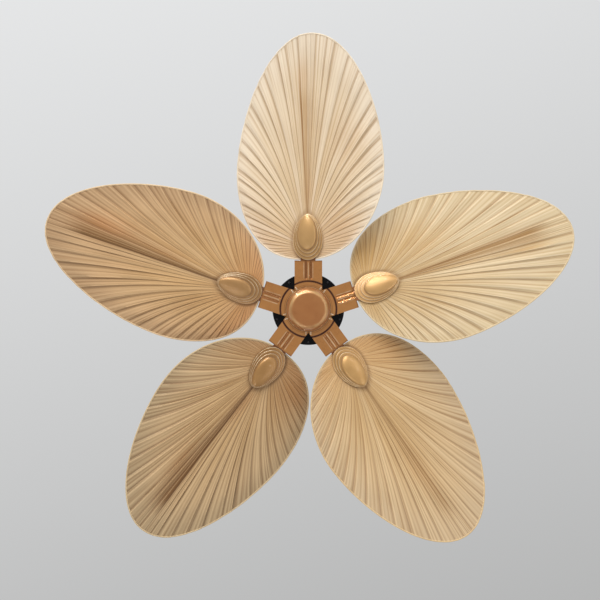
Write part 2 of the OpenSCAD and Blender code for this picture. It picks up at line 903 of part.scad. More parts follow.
// Half the leaf's width at x; it is fuller on one side of its root than on the other
function half_width(x, side) =
    let (inward = x < widest_x,
         u = inward ? (widest_x - x) / (widest_x - leaf_root) : (x - widest_x) / (leaf_tip - widest_x))
    u >= 1 ? 0 : leaf_w / 2 * (inward ? pow(1 - pow(u, 2), 1 / (side < 0 ? 2.5 : 2))
                                      : pow(1 - pow(u, 1.7), 1 / 2));

// Distance from the focus to the leaf's edge along the direction a, by halving
function edge_reach(a, near = 0, away = leaf_len, steps = 20) =
    let (mid = (near + away) / 2, x = focus_x + mid * cos(a), y = mid * sin(a))
    steps == 0 ? mid
    : abs(y) < half_width(x, y) ? edge_reach(a, mid, away, steps - 1)
    : edge_reach(a, near, mid, steps - 1);

// Folds lie closer together in angle towards the tip, so they are about evenly wide at the edge
function ray_angle(i) = let (t = 2 * i / ray_n - 1) 180 * sign(t) * pow(abs(t), 1.4);
function flat_reach(a) = 40 + 8 * pow(max(0, cos(a)), 2) + 30 * pow(max(0, -cos(a)), 2);

// Height of the unpleated leaf: its sides rise from the midrib and its tip droops
function form_z(x, y) =
    leaf_rise * max(0, abs(y) - form_from) / (leaf_w / 2 - form_from)
    - leaf_sag * pow(max(0, x - focus_x - form_from) / (leaf_tip - focus_x - form_from), 2);

reaches = [for (i = [0:ray_n - 1]) edge_reach(ray_angle(i))];

// Point on fold i: share 0 is the rim of the flat clamp area, 1 the leaf's edge, and
// past lengthens the ray beyond that edge
function leaf_point(i, share, past, lift) =
    let (a = ray_angle(i),
         edge = reaches[i] - binding_w,
         start = min(flat_reach(a), edge - 1.5),
         r = start + share * (edge - start) + past,
         fold = pleat_h * share * min(1, (edge - start) / 120) * (i % 2 == 0 ? 1 : -1),
         x = focus_x + r * cos(a),
         y = r * sin(a))
    [x, y, form_z(x, y) + fold + lift];

// Turns the leaf a little within its own plane
module turned_leaf() {
    translate([widest_x, 0, 0]) rotate([0, 0, leaf_turn]) translate([-widest_x, 0, 0]) children();
}

// Closed pleated sheet: underside first, then the top, each as three rings of points
module leaf_sheet() {
    shares = [0, 0.4, 1];
    rings = len(shares);
    points = concat(
        [for (lift = [0, leaf_t], share = shares, i = [0:ray_n - 1]) leaf_point(i, share, 0, lift)],
        [[focus_x, 0, 0], [focus_x, 0, leaf_t]]);
    function at(layer, ring, i) = (layer * rings + ring) * ray_n + i % ray_n;
    centre = 2 * rings * ray_n;
    faces = [for (i = [0:ray_n - 1]) each concat(
        [[centre + 1, at(1, 0, i + 1), at(1, 0, i)], [centre, at(0, 0, i), at(0, 0, i + 1)]],
        [for (ring = [0:rings - 2]) each [
            [at(1, ring, i), at(1, ring, i + 1), at(1, ring + 1, i + 1)],
            [at(1, ring, i), at(1, ring + 1, i + 1), at(1, ring + 1, i)],
            [at(0, ring, i + 1), at(0, ring, i), at(0, ring + 1, i + 1)],
            [at(0, ring + 1, i), at(0, ring + 1, i + 1), at(0, ring, i)]]],
        [[at(1, rings - 1, i), at(1, rings - 1, i + 1), at(0, rings - 1, i + 1)],
         [at(1, rings - 1, i), at(0, rings - 1, i + 1), at(0, rings - 1, i)]])];
    polyhedron(points, faces, convexity = 10);
}

module leaf(k) {
    color(palm)
        at_blade(k) pitched()
            difference() {
                turned_leaf() leaf_sheet();
                at_leaf_screws() bar_z(leaf_screw_r + 0.2, -5, 5);
            }
}

// Strip sewn around the leaf's edge, which follows the pleats
module edge_binding(k) {
    low = -binding_proud;
    high = leaf_t + binding_proud;
    corners = [[0, low], [0, high], [binding_w, high], [binding_w, low]];
    points = [for (i = [0:ray_n - 1], c = corners) leaf_point(i, 1, c[0], c[1])];
    function at(i, c) = (i % ray_n) * 4 + c % 4;
    faces = [for (i = [0:ray_n - 1], c = [0:3]) each [
        [at(i, c), at(i + 1, c), at(i + 1, c + 1)],
        [at(i, c), at(i + 1, c + 1), at(i, c + 1)]]];
    color(pale_palm) at_blade(k) pitched() turned_leaf() polyhedron(points, faces, convexity = 10);
}

module backing_plate(k) {
    inset = clamp_inset + 2;
    color(zinc)
        at_blade(k) pitched() difference() {
            translate([0, 0, leaf_t]) linear_extrude(backing_t)
                polygon(egg(leaf_root + inset, medallion_widest, medallion_tip - inset,
                    medallion_w / 2 - inset, medallion_sides));
            at_leaf_screws() bar_z(leaf_screw_r + 0.2, -5, 10);
        }
}

module leaf_screws() {
    color(zinc)
        at_every_blade() pitched() at_leaf_screws()
            translate([0, 0, leaf_top]) screw(leaf_screw_r, leaf_top + leaf_screw_depth);
}

// Outline of the medallion drawn in at the hub end, at the tip and at the sides
function medallion_ring(hub, tip, side) =
    egg(leaf_root + hub, leaf_root + hub + medallion_belly * (medallion_len - hub - tip),
        medallion_tip - tip, medallion_w / 2 - side, medallion_sides);

// Closed solid through rings of points, each given as [outline, height], up to an apex
module ring_loft(levels, apex) {
    n = medallion_sides;
    count = len(levels);
    points = concat([for (level = levels, p = level[0]) [p[0], p[1], level[1]]], [apex]);
    faces = concat(
        [[for (i = [n - 1:-1:0]) i]],
        [for (j = [0:count - 2], i = [0:n - 1]) each [
            [j * n + i, j * n + (i + 1) % n, (j + 1) * n + (i + 1) % n],
            [j * n + i, (j + 1) * n + (i + 1) % n, (j + 1) * n + i]]],
        [for (i = [0:n - 1]) [(count - 1) * n + i, (count - 1) * n + (i + 1) % n, count * n]]);
    polyhedron(points, faces, convexity = 4);
}

// Cast cover under the leaf's root: steps that widen towards the hub, then a smooth dome
module medallion(k) {
    top = -medallion_gap;
    shoulder = top - medallion_rim_h - medallion_steps * step_h;
    crown_h = medallion_h - medallion_rim_h - medallion_steps * step_h;
    steps = [for (i = [0:medallion_steps]) medallion_ring(i * step_hub, i * step_tip, i * step_side)];
    crown = steps[medallion_steps];
    eye_x = leaf_root + 0.555 * medallion_len;
    levels = concat(
        [[steps[0], top], [steps[0], top - medallion_rim_h]],
        [for (i = [1:medallion_steps]) let (z = top - medallion_rim_h - i * step_h) each [
            [steps[i], z + step_h - tread_drop], [steps[i], z]]],
        [for (a = [18:18:72]) [
            [for (p = crown) [eye_x + (p[0] - eye_x) * cos(a), p[1] * cos(a)]],
            shoulder - crown_h * sin(a)]]);
    color(bright_gold)
        at_blade(k) pitched() {
            difference() {
                ring_loft(levels, [eye_x, 0, shoulder - crown_h]);
                // shallow hollow for the paddle, deeper in the middle
                translate([0, 0, -paddle_t - 0.5]) linear_extrude(far)
                    polygon(medallion_ring(clamp_inset - 2.5, clamp_inset - 2.5, clamp_inset - 2.5));
                translate([0, 0, shoulder + 1]) linear_extrude(far)
                    polygon(medallion_ring(medallion_steps * step_hub + 8, 14,
                        medallion_steps * step_side + 4));
                translate([leaf_root - 2, -neck_w / 2 - 1, -paddle_t - 0.5])
                    cube([20, neck_w + 2, far]);
                medallion_screw_holes();
            }
            difference() {
                at_leaf_screws() bar_z(leaf_screw_r + 3, shoulder, -paddle_t);
                medallion_screw_holes();
            }
        }
}

module medallion_screw_holes() {
    at_leaf_screws() bar_z(leaf_screw_r + fit, -leaf_screw_depth - 1, 0);
}

// ---------- dome under the hub ----------

// Plate on three posts; its tabs hold the dome
module cap_plate() {
    color(zinc)
        difference() {
            union() {
                translate([0, 0, cap_plate_top - cap_plate_t]) linear_extrude(cap_plate_t) {
                    circle(r = cap_plate_r);
                    for (turn = [90, 210, 330])
                        rotate(turn) intersection() {
                            circle(r = cap_tab_r);
                            polygon([[0, 0], [far * cos(lug_turn / 2), -far * sin(lug_turn / 2)],
                                [far * cos(lug_turn / 2), far * sin(lug_turn / 2)]]);
                        }
                }
                at_posts() bar_z(post_r, cap_plate_top - tiny, flange_low);
            }
            bar_z(12, arm_low - 10, flange_low + 1);
            at_posts() bar_z(post_screw_r + 0.2, arm_low - 10, flange_low + 1);
        }
}

module cap_plate_screws() {
    color(zinc)
        at_posts()
            translate([0, 0, cap_plate_top - cap_plate_t]) rotate([180, 0, 0])
                screw(post_screw_r, flange_low - cap_plate_top + cap_plate_t + 4);
}

module centre_dome() {
    fillet = dome_r - dome_face_d / 2;
    steps = 14;
    outer = [for (i = [0:steps]) let (a = 90 * i / steps)
        [dome_r - fillet + fillet * cos(a), dome_low + fillet - fillet * sin(a)]];
    inner = [for (i = [steps:-1:0]) let (a = 90 * i / steps)
        [dome_r - fillet + (fillet - dome_t) * cos(a), dome_low + fillet - (fillet - dome_t) * sin(a)]];
    color(gold) {
        rotate_extrude() polygon(concat(
            [[skirt_in_r, skirt_top], [skirt_r, skirt_top], [skirt_r, arm_low],
             [dome_lip_d / 2, arm_low], [dome_lip_d / 2, arm_low - lip_t], [dome_r, arm_low - lip_t]],
            outer, [[0, dome_low], [0, dome_low + dome_t]], inner,
            [[dome_r - dome_t, arm_low - lip_t], [skirt_in_r, arm_low - lip_t]]));
        for (turn = [90, 210, 330])
            rotate([0, 0, turn])
                sector(skirt_in_r + 0.5, lug_in_r, lug_turn,
                    cap_plate_top + lug_gap, cap_plate_top + lug_gap + lug_t);
    }
}

// ---------- all nodes ----------

hanger_bracket();
canopy();
canopy_screws();
canopy_trim_ring();
hanger_ball();
ball_cross_pin();
ball_set_screw();
downrod();
lead_connector();
supply_leads();
yoke();
yoke_clevis_pin();
cotter_pin();
yoke_set_screws();
coupling_cover();
upper_housing();
housing_screws();
capacitor();
motor_shaft();
shaft_circlip();
stator_core();
stator_windings();
upper_bearing();
lower_bearing();
rotor_can();
rotor_cage();
rotor_flange();
shell_screws();
arm_screws();
leaf_screws();
cap_plate();
cap_plate_screws();
centre_dome();
for (k = [1:blade_n]) {
    blade_arm(k);
    leaf(k);
    edge_binding(k);
    backing_plate(k);
    medallion(k);
}
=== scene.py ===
import logging
import math
from dataclasses import dataclass, field, replace
from enum import Enum
from typing import Any, Callable, ClassVar, Iterable, Sequence

import bmesh
import bpy
import numpy as np
from mathutils import Matrix, Vector


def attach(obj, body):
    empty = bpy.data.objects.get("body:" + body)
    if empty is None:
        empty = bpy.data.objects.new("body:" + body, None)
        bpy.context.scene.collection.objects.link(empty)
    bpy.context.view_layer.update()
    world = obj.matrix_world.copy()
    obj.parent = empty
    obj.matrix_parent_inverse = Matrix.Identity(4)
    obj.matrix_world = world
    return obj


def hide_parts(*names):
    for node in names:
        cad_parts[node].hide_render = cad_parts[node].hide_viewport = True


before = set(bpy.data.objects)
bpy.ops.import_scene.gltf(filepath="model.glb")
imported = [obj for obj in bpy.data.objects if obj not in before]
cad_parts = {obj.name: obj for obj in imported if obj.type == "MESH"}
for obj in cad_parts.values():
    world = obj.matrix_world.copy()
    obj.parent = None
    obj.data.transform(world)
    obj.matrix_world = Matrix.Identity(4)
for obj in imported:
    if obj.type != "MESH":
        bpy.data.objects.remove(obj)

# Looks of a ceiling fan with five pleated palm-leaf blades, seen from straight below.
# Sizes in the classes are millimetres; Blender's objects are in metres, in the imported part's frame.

Object = bpy.types.Object
Material = bpy.types.Material
Colour = tuple[float, float, float, float]
Point = tuple[float, float]
Triple = tuple[float, float, float]
Profile = list[Point]

MM = 0.001
WELD = 1e-6
FULL_TURN = 2 * math.pi
SHARP = math.radians(30.0)
FLAT = math.radians(0.6)

log = logging.getLogger("ceiling_fan")


# ---------- names ----------


class Body(Enum):
    """The bodies that pieces ride on."""

    MOUNT = "mount"
    HANGING = "hanging"
    ROTOR = "rotor"


class Slot(Enum):
    """The material slots that finishes belong to."""

    ZINC = "zinc_steel"
    STEEL = "steel"
    LAMINATION = "lamination_steel"
    GOLD = "gold_paint"
    LIGHT_GOLD = "light_gold_paint"
    BLACK = "black_gloss_paint"
    CASTING = "black_casting"
    COPPER = "copper_wire"
    PALM = "palm_leaf"
    HEM = "palm_hem"
    WHITE_PLASTIC = "white_plastic"
    DARK_PLASTIC = "dark_plastic"
    LEAD = "lead_insulation"


# ---------- shader maths ----------


def seen(red: float, green: float, blue: float) -> Colour:
    """Gives the linear colour of a paint that is seen as these values.

    Args:
        red: red from 0 to 255, as a screen shows it.
        green: green from 0 to 255.
        blue: blue from 0 to 255.

    Returns:
        The linear colour with an alpha of 1.
    """
    linear = [value / 12.92 if value <= 0.04045 else ((value + 0.055) / 1.055) ** 2.4
              for value in (red / 255, green / 255, blue / 255)]
    return (linear[0], linear[1], linear[2], 1.0)


class Value:
    """An output of a node; arithmetic on it adds Math nodes."""

    def __init__(self, graph: "Graph", socket: bpy.types.NodeSocket) -> None:
        """Keeps the socket and the graph that it is in."""
        self.graph = graph
        self.socket = socket

    def math(self, operation: str, *others: "Value | float") -> "Value":
        """Gives the result of a Math node on this value.

        Args:
            operation: the Math node's operation.
            others: the second and third operands, where it has them.

        Returns:
            The node's result.
        """
        return self.graph.node("ShaderNodeMath", {"operation": operation},
                               dict(enumerate((self, *others))))

    def __add__(self, other: "Value | float") -> "Value":
        """Sum."""
        return self.math("ADD", other)

    __radd__ = __add__

    def __sub__(self, other: "Value | float") -> "Value":
        """Difference."""
        return self.math("SUBTRACT", other)

    def __rsub__(self, other: float) -> "Value":
        """Difference with a number on the left."""
        return self.graph.node("ShaderNodeMath", {"operation": "SUBTRACT"}, {0: other, 1: self})

    def __mul__(self, other: "Value | float") -> "Value":
        """Product."""
        return self.math("MULTIPLY", other)

    __rmul__ = __mul__

    def __truediv__(self, other: "Value | float") -> "Value":
        """Quotient."""
        return self.math("DIVIDE", other)

    def step(self, low: float, high: float) -> "Value":
        """Goes smoothly from 0 at low to 1 at high."""
        return self.graph.node("ShaderNodeMapRange", {"interpolation_type": "SMOOTHSTEP"},
                               {0: self, 1: low, 2: high, 3: 0.0, 4: 1.0})

    def clamp(self) -> "Value":
        """Keeps the value between 0 and 1."""
        return self.graph.node("ShaderNodeClamp", {}, {0: self, 1: 0.0, 2: 1.0})


class Graph:
    """The nodes of a material or of the world."""

    def __init__(self, tree: bpy.types.NodeTree) -> None:
        """Starts an empty graph in the tree."""
        self.tree = tree
        tree.nodes.clear()

    def node(self, kind: str, settings: dict[str, Any] | None = None,
             inputs: dict[int | str, Any] | None = None, out: int = 0) -> Value:
        """Adds one node, sets it up and feeds it.

        Args:
            kind: the node's type.
            settings: its properties, which are set first.
            inputs: values or links of its sockets, by name or number.
            out: number of the output that is wanted.

        Returns:
            That output.
        """
        made = self.tree.nodes.new(kind)
        for name, setting in (settings or {}).items():
            setattr(made, name, setting)
        for name, value in (inputs or {}).items():
            self.feed(made.inputs[name], value)
        return Value(self, made.outputs[out])

    def feed(self, socket: bpy.types.NodeSocket, value: Any) -> None:
        """Links a value to a socket, or sets a constant on it.

        Args:
            socket: the socket.
            value: an output of a node, or the constant.
        """
        if isinstance(value, Value):
            self.tree.links.new(value.socket, socket)
        else:
            socket.default_value = value

    def place(self) -> Value:
        """Where a point is in the frame of its piece."""
        return self.node("ShaderNodeTexCoord", out=3)

    def unrolled(self) -> tuple[Value, Value, Value]:
        """Where a point is on its piece's surface, laid flat."""
        return self.split(self.node("ShaderNodeTexCoord", out=2))

    def radius(self, vector: Value) -> Value:
        """Gives a point's distance from the fan's axis."""
        x, y, _ = self.split(vector)
        return (x * x + y * y).math("SQRT")

    def split(self, vector: Value) -> tuple[Value, Value, Value]:
        """Gives the three parts of a vector."""
        parts = [self.node("ShaderNodeSeparateXYZ", {}, {0: vector}, out=i) for i in range(3)]
        return (parts[0], parts[1], parts[2])

    def join(self, x: Any, y: Any, z: Any) -> Value:
        """Makes a vector of three values."""
        return self.node("ShaderNodeCombineXYZ", {}, {0: x, 1: y, 2: z})

    def noise(self, at: Value, scale: float, detail: float = 2.0, rough: float = 0.5) -> Value:
        """Gives soft noise from 0 to 1.

        Args:
            at: the point that it is read at.
            scale: waves to a metre, or to a unit of the point given.
            detail: how many finer layers it has.
            rough: strength of the finer layers.

        Returns:
            The noise.
        """
        return self.node("ShaderNodeTexNoise", {},
                         {"Vector": at, "Scale": scale, "Detail": detail, "Roughness": rough})

    def mark(self, name: str) -> Value:
        """Reads a number that the piece's vertices carry."""
        return self.node("ShaderNodeAttribute", {"attribute_name": name}, out=2)

    def mix(self, share: Value, first: Any, second: Any) -> Value:
        """Mixes two colours.

        Args:
            share: how much of the second colour there is.
            first: the first colour.
            second: the second colour.

        Returns:
            The mixed colour.
        """
        return self.node("ShaderNodeMix", {"data_type": "RGBA"},
                         {0: share, 6: first, 7: second}, out=2)


class Coat(Graph):
    """The nodes of one surface, around a Principled shader."""

    def __init__(self, name: str) -> None:
        """Makes the material with its shader and output.

        Args:
            name: the material's name.
        """
        self.material: Material = bpy.data.materials.new(name)
        self.material.use_nodes = True
        super().__init__(self.material.node_tree)
        shader = self.tree.nodes.new("ShaderNodeBsdfPrincipled")
        output = self.tree.nodes.new("ShaderNodeOutputMaterial")
        self.tree.links.new(shader.outputs[0], output.inputs["Surface"])
        self.sockets = shader.inputs

    def set(self, **values: Any) -> None:
        """Sets or feeds the shader's sockets, each named with underscores for spaces."""
        for name, value in values.items():
            self.feed(self.sockets[name.replace("_", " ")], value)

    def layers(self, ground: Colour, *over: tuple[Value, Colour]) -> Value:
        """Lays colours over a ground, one after the other.

        Args:
            ground: the colour underneath.
            over: each layer's share at a point, kept between 0 and 1, and its colour.

        Returns:
            The colour on top.
        """
        for share, colour in over:
            ground = self.mix(share.clamp(), ground, colour)
        return ground

    def relief(self, height: Value, depth: float, strength: float) -> None:
        """Feeds the shader's normal from a height.

        Args:
            height: the relief from 0 to 1.
            depth: its depth in millimetres.
            strength: how strongly it shows.
        """
        self.set(Normal=self.node("ShaderNodeBump", {}, {
            "Strength": strength, "Distance": depth * MM, "Height": height}))


# ---------- finishes ----------


@dataclass(frozen=True)
class Finish:
    """A finish that is made once and put on several pieces."""

    name: str
    slot: Slot
    made: ClassVar[dict[str, Material]] = {}

    def material(self) -> Material:
        """Makes the finish's material on the first call.

        Returns:
            The material.
        """
        if self.name not in self.made:
            coat = Coat(self.name)
            self.paint(coat)
            self.made[self.name] = coat.material
        return self.made[self.name]

    def paint(self, coat: Coat) -> None:
        """Lays the finish on a surface's nodes."""
        raise NotImplementedError(self.name)

    def cover(self, piece: Object) -> None:
        """Puts the finish all over a piece.

        Args:
            piece: the piece.
        """
        piece.data.materials.clear()
        piece.data.materials.append(self.material())


@dataclass(frozen=True)
class MetallicPaint(Finish):
    """Sprayed metallic paint under lacquer: flakes, soft mottling, painted shade in hollows and
    painted highlights along edges.
    """

    colour: Colour
    shade: Colour
    hollow: Colour
    rubbed: Colour
    rough: float
    metal: float
    lacquer: float
    texture: float = 0.4

    def hollows(self, coat: Coat, place: Value) -> Value:
        """Gives where shade is painted dark."""
        return coat.mark("hollow")

    def highlights(self, coat: Coat, place: Value) -> Value:
        """Gives where a highlight is painted bright."""
        return coat.mark("painted_highlight")

    def paint(self, coat: Coat) -> None:
        """Lays the paint.

        Args:
            coat: the surface's nodes.
        """
        place = coat.place()
        mottle = coat.noise(place, 45.0, 3.0)
        flake = coat.noise(place, 1900.0, 1.0)
        peel = coat.noise(place, 420.0, 2.0)
        # painted shade darkens recesses; painted highlight brightens edges, in patches
        hollow = self.hollows(coat, place)
        painted_highlight = self.highlights(coat, place) * (1 - hollow) * (mottle.step(0.3, 0.7) * 0.6 + 0.4)
        coat.set(
            Base_Color=coat.layers(
                self.shade, (mottle * 0.7 + flake * 0.5 - 0.1, self.colour), (painted_highlight, self.rubbed),
                (hollow * (0.75 + mottle * 0.4), self.hollow)),
            Metallic=self.metal,
            Roughness=(mottle * 0.14 + flake * 0.1 + (self.rough - 0.1)).clamp(),
            Coat_Weight=self.lacquer,
            Coat_Roughness=0.16,
        )
        coat.relief(flake * 0.5 + peel, 0.012, self.texture)


@dataclass(frozen=True)
class ArmPaint(MetallicPaint):
    """The arms' paint: painted shade in the round grooves and at the outer ends, painted highlights
    on the ridges and beside the seams.
    """

    # rings and end: painted shade in the grooves round the dome and at each arm's outer end; glint
    # and ridges: painted highlights beside the seams and the flutes
    rings: tuple[Triple, ...] = ((53.8, 1.1, 0.7), (57.5, 0.9, 0.35), (67.2, 3.2, 1.0))
    end: Triple = (112.5, 117.5, 0.75)
    glint: Triple = (57.0, 4.6, 5.8)
    glint_fade: Point = (1.5, 0.8)
    glint_end: float = 0.6
    ridges: tuple[Triple, ...] = ((0.0, 1.5, 0.5), (10.8, 1.3, 0.4))
    ridge_start: Point = (72.0, 76.0)
    ridge_end: Point = (113.0, 109.0)
    edge: float = 0.4
    underside: Point = (-272.0, -274.5)
    arms: int = 5

    def own(self, coat: Coat, place: Value) -> tuple[Value, Value, Value]:
        """Gives the distance from the fan's axis and the direction off the nearest arm, each way.

        Args:
            coat: the surface's nodes.
            place: where a point is.

        Returns:
            The distance in millimetres, and the direction's cosine and sine.
        """
        x, y, _ = coat.split(place)
        radius = coat.radius(place) / MM
        turn = y.math("ARCTAN2", x) / FULL_TURN * float(self.arms) - self.arms / 4 + 0.5
        off = (turn.math("FRACT") - 0.5) * (FULL_TURN / self.arms)
        return radius, off.math("COSINE"), off.math("SINE")

    def hollows(self, coat: Coat, place: Value) -> Value:
        """Paints shade in the rings, each with a radius, a width and a strength, and at the arm's
        outer end.

        Args:
            coat: the surface's nodes.
            place: where a point is.

        Returns:
            How dark the painted shade is.
        """
        hollow = super().hollows(coat, place)
        radius, cosine, _ = self.own(coat, place)
        for ring, width, strength in self.rings:
            away = (radius - ring).math("ABSOLUTE")
            hollow = hollow.math("MAXIMUM", away.step(width, width * self.edge) * strength)
        start, finish, strength = self.end
        return hollow.math("MAXIMUM", (radius * cosine).step(start, finish) * strength)

    def highlights(self, coat: Coat, place: Value) -> Value:
        """Paints a short glint on each side of a seam, and highlight lines beside the flutes.

        Args:
            coat: the surface's nodes.
            place: where a point is.

        Returns:
            How bright the painted highlight is.
        """
        radius, cosine, sine = self.own(coat, place)
        middle, length, apart = self.glint
        seam = math.pi / self.arms
        away = radius * (cosine * math.sin(seam) - sine.math("ABSOLUTE") * math.cos(seam))
        rubbed = (away - apart).math("ABSOLUTE").step(*self.glint_fade) * (
            (radius - middle).math("ABSOLUTE").step(length + self.glint_end, length - self.glint_end))
        along, aside = radius * cosine, (radius * sine).math("ABSOLUTE")
        for ridge, width, strength in self.ridges:
            line = (aside - ridge).math("ABSOLUTE").step(width, width * self.edge) * strength
            line = line * along.step(*self.ridge_start) * along.step(*self.ridge_end)
            rubbed = rubbed.math("MAXIMUM", line)
        below = (coat.split(place)[2] / MM).step(*self.underside)
        return super().highlights(coat, place).math("MAXIMUM", rubbed * below)


@dataclass(frozen=True)
class GlossPaint(Finish):
    """Thick gloss paint with a little orange peel and dust."""

    colour: Colour = (0.003, 0.003, 0.004, 1.0)
    dust: Colour = (0.03, 0.028, 0.026, 1.0)
    rough: float = 0.16
    gloss: float = 0.12

    def paint(self, coat: Coat) -> None:
        """Lays the paint.

        Args:
            coat: the surface's nodes.
        """
        place = coat.place()
        cloud = coat.noise(place, 38.0, 4.0, 0.6)
        specks = coat.noise(place, 900.0, 2.0).step(0.66, 0.74)
        peel = coat.noise(place, 260.0, 2.0)
        coat.set(
            Base_Color=coat.layers(
                self.colour, (cloud.step(0.5, 0.85) * 0.25 + specks * 0.3, self.dust)),
            Roughness=(cloud.step(0.35, 0.8) * 0.16 + specks * 0.2 + self.rough).clamp(),
            Specular_IOR_Level=self.gloss,
        )
        coat.relief(peel, 0.03, 0.4)


@dataclass(frozen=True)
class PlatedSteel(Finish):
    """Pressed steel with a zinc coat: pale spangles, faint rolling lines and dull patches."""

    colour: Colour = (0.55, 0.56, 0.57, 1.0)
    dull: Colour = (0.33, 0.34, 0.36, 1.0)
    rough: float = 0.34

    def paint(self, coat: Coat) -> None:
        """Lays the plating.

        Args:
            coat: the surface's nodes.
        """
        place = coat.place()
        spangle = coat.node("ShaderNodeTexVoronoi", {"feature": "SMOOTH_F1"},
                            {"Vector": place, "Scale": 210.0, "Smoothness": 0.4})
        patch = coat.noise(place, 30.0, 3.0)
        x, y, z = coat.split(place)
        rolled = coat.noise(coat.join(x * 30.0, y * 900.0, z * 900.0), 1.0, 2.0)
        coat.set(
            Base_Color=coat.layers(
                self.colour, (patch.step(0.35, 0.75) * 0.6 + spangle * 0.4, self.dull)),
            Metallic=1.0,
            Roughness=(patch * 0.2 + rolled * 0.14 + (self.rough - 0.1)).clamp(),
        )
        coat.relief(rolled + spangle, 0.015, 0.4)


@dataclass(frozen=True)
class TurnedSteel(Finish):
    """Ground steel with the fine rings that a lathe leaves, and a film of oil."""

    colour: Colour = (0.42, 0.43, 0.45, 1.0)
    oiled: Colour = (0.2, 0.18, 0.15, 1.0)
    rough: float = 0.24

    def paint(self, coat: Coat) -> None:
        """Lays the finish.

        Args:
            coat: the surface's nodes.
        """
        place = coat.place()
        radius, height = coat.radius(place), coat.split(place)[2]
        rings = coat.noise(coat.join(radius * 2600.0, height * 2600.0, 0.0), 1.0, 2.0)
        film = coat.noise(place, 55.0, 3.0)
        coat.set(
            Base_Color=coat.layers(self.colour, (film.step(0.45, 0.8) * 0.6, self.oiled)),
            Metallic=1.0,
            Roughness=(rings * 0.16 + film * 0.14 + (self.rough - 0.08)).clamp(),
        )
        coat.relief(rings, 0.012, 0.5)


@dataclass(frozen=True)
class StackedPlates(Finish):
    """Edges of thin steel plates that lie on each other."""

    colour: Colour = (0.16, 0.16, 0.17, 1.0)
    gap: Colour = (0.03, 0.03, 0.035, 1.0)
    plate: float = 0.5

    def paint(self, coat: Coat) -> None:
        """Lays the plates.

        Args:
            coat: the surface's nodes.
        """
        place = coat.place()
        layer = (coat.split(place)[2] / (self.plate * MM)).math("FRACT")
        joint = layer.math("MINIMUM", 1 - layer).step(0.22, 0.0)
        rust = coat.noise(place, 120.0, 4.0)
        coat.set(
            Base_Color=coat.layers(self.colour, (joint * 0.8 + rust * 0.2, self.gap)),
            Metallic=0.8,
            Roughness=(rust * 0.25 + 0.38).clamp(),
        )
        coat.relief(1 - joint, 0.05, 0.6)


@dataclass(frozen=True)
class WoundWire(Finish):
    """Enamelled copper wire, laid side by side."""

    colour: Colour = (0.55, 0.16, 0.06, 1.0)
    shade_between: Colour = (0.12, 0.03, 0.015, 1.0)
    wire: float = 0.6

    def paint(self, coat: Coat) -> None:
        """Lays the wires.

        Args:
            coat: the surface's nodes.
        """
        place = coat.place()
        row = ((coat.split(place)[2] + coat.radius(place)) / (self.wire * MM)).math("FRACT")
        round_top = (row * (1 - row) * 4.0).math("SQRT")
        varnish = coat.noise(place, 160.0, 3.0)
        coat.set(
            # painted shade between the wires and lighter colour on each wire's round top
            Base_Color=coat.layers(self.shade_between, (round_top * 0.85 + varnish * 0.25, self.colour)),
            Metallic=0.75,
            Roughness=(varnish * 0.2 + 0.2).clamp(),
        )
        coat.relief(round_top, 0.18, 0.8)


@dataclass(frozen=True)
class MouldedPlastic(Finish):
    """Moulded plastic with a fine spark-eroded grain and handling marks."""

    colour: Colour = (0.8, 0.78, 0.7, 1.0)
    mark: Colour = (0.6, 0.56, 0.48, 1.0)
    rough: float = 0.45

    def paint(self, coat: Coat) -> None:
        """Lays the grain.

        Args:
            coat: the surface's nodes.
        """
        place = coat.place()
        grain = coat.noise(place, 1500.0, 2.0)
        cloud = coat.noise(place, 70.0, 3.0)
        coat.set(
            Base_Color=coat.layers(
                self.colour, (cloud.step(0.4, 0.8) * 0.5 + grain * 0.15, self.mark)),
            Roughness=(grain * 0.14 + cloud * 0.1 + (self.rough - 0.1)).clamp(),
        )
        coat.relief(grain, 0.03, 0.5)


@dataclass(frozen=True)
class Blush:
    """A soft patch of warmer colour on a leaf, in the leaf's own plane."""

    along: float
    aside: float
    length: float
    width: float
    strength: float


@dataclass(frozen=True)
class LeafTone:
    """The colours of one dried leaf, of its hem and of the casting under it, each lighter or darker
    with painted light and shade for how light falls on that blade.
    """

    cream: Colour
    tan: Colour
    midrib: Colour
    blushes: tuple[Blush, ...]
    warm: Colour
    outer: Colour
    rim: Colour
    pale: Colour
    crease: Colour
    hem: Colour
    cast: Colour
    cast_shade: Colour
    seed: float
    midrib_strength: float = 0.9
    midrib_spread: float = 8.5
    midrib_lean: float = 0.0
    midrib_reach: float = 415.0


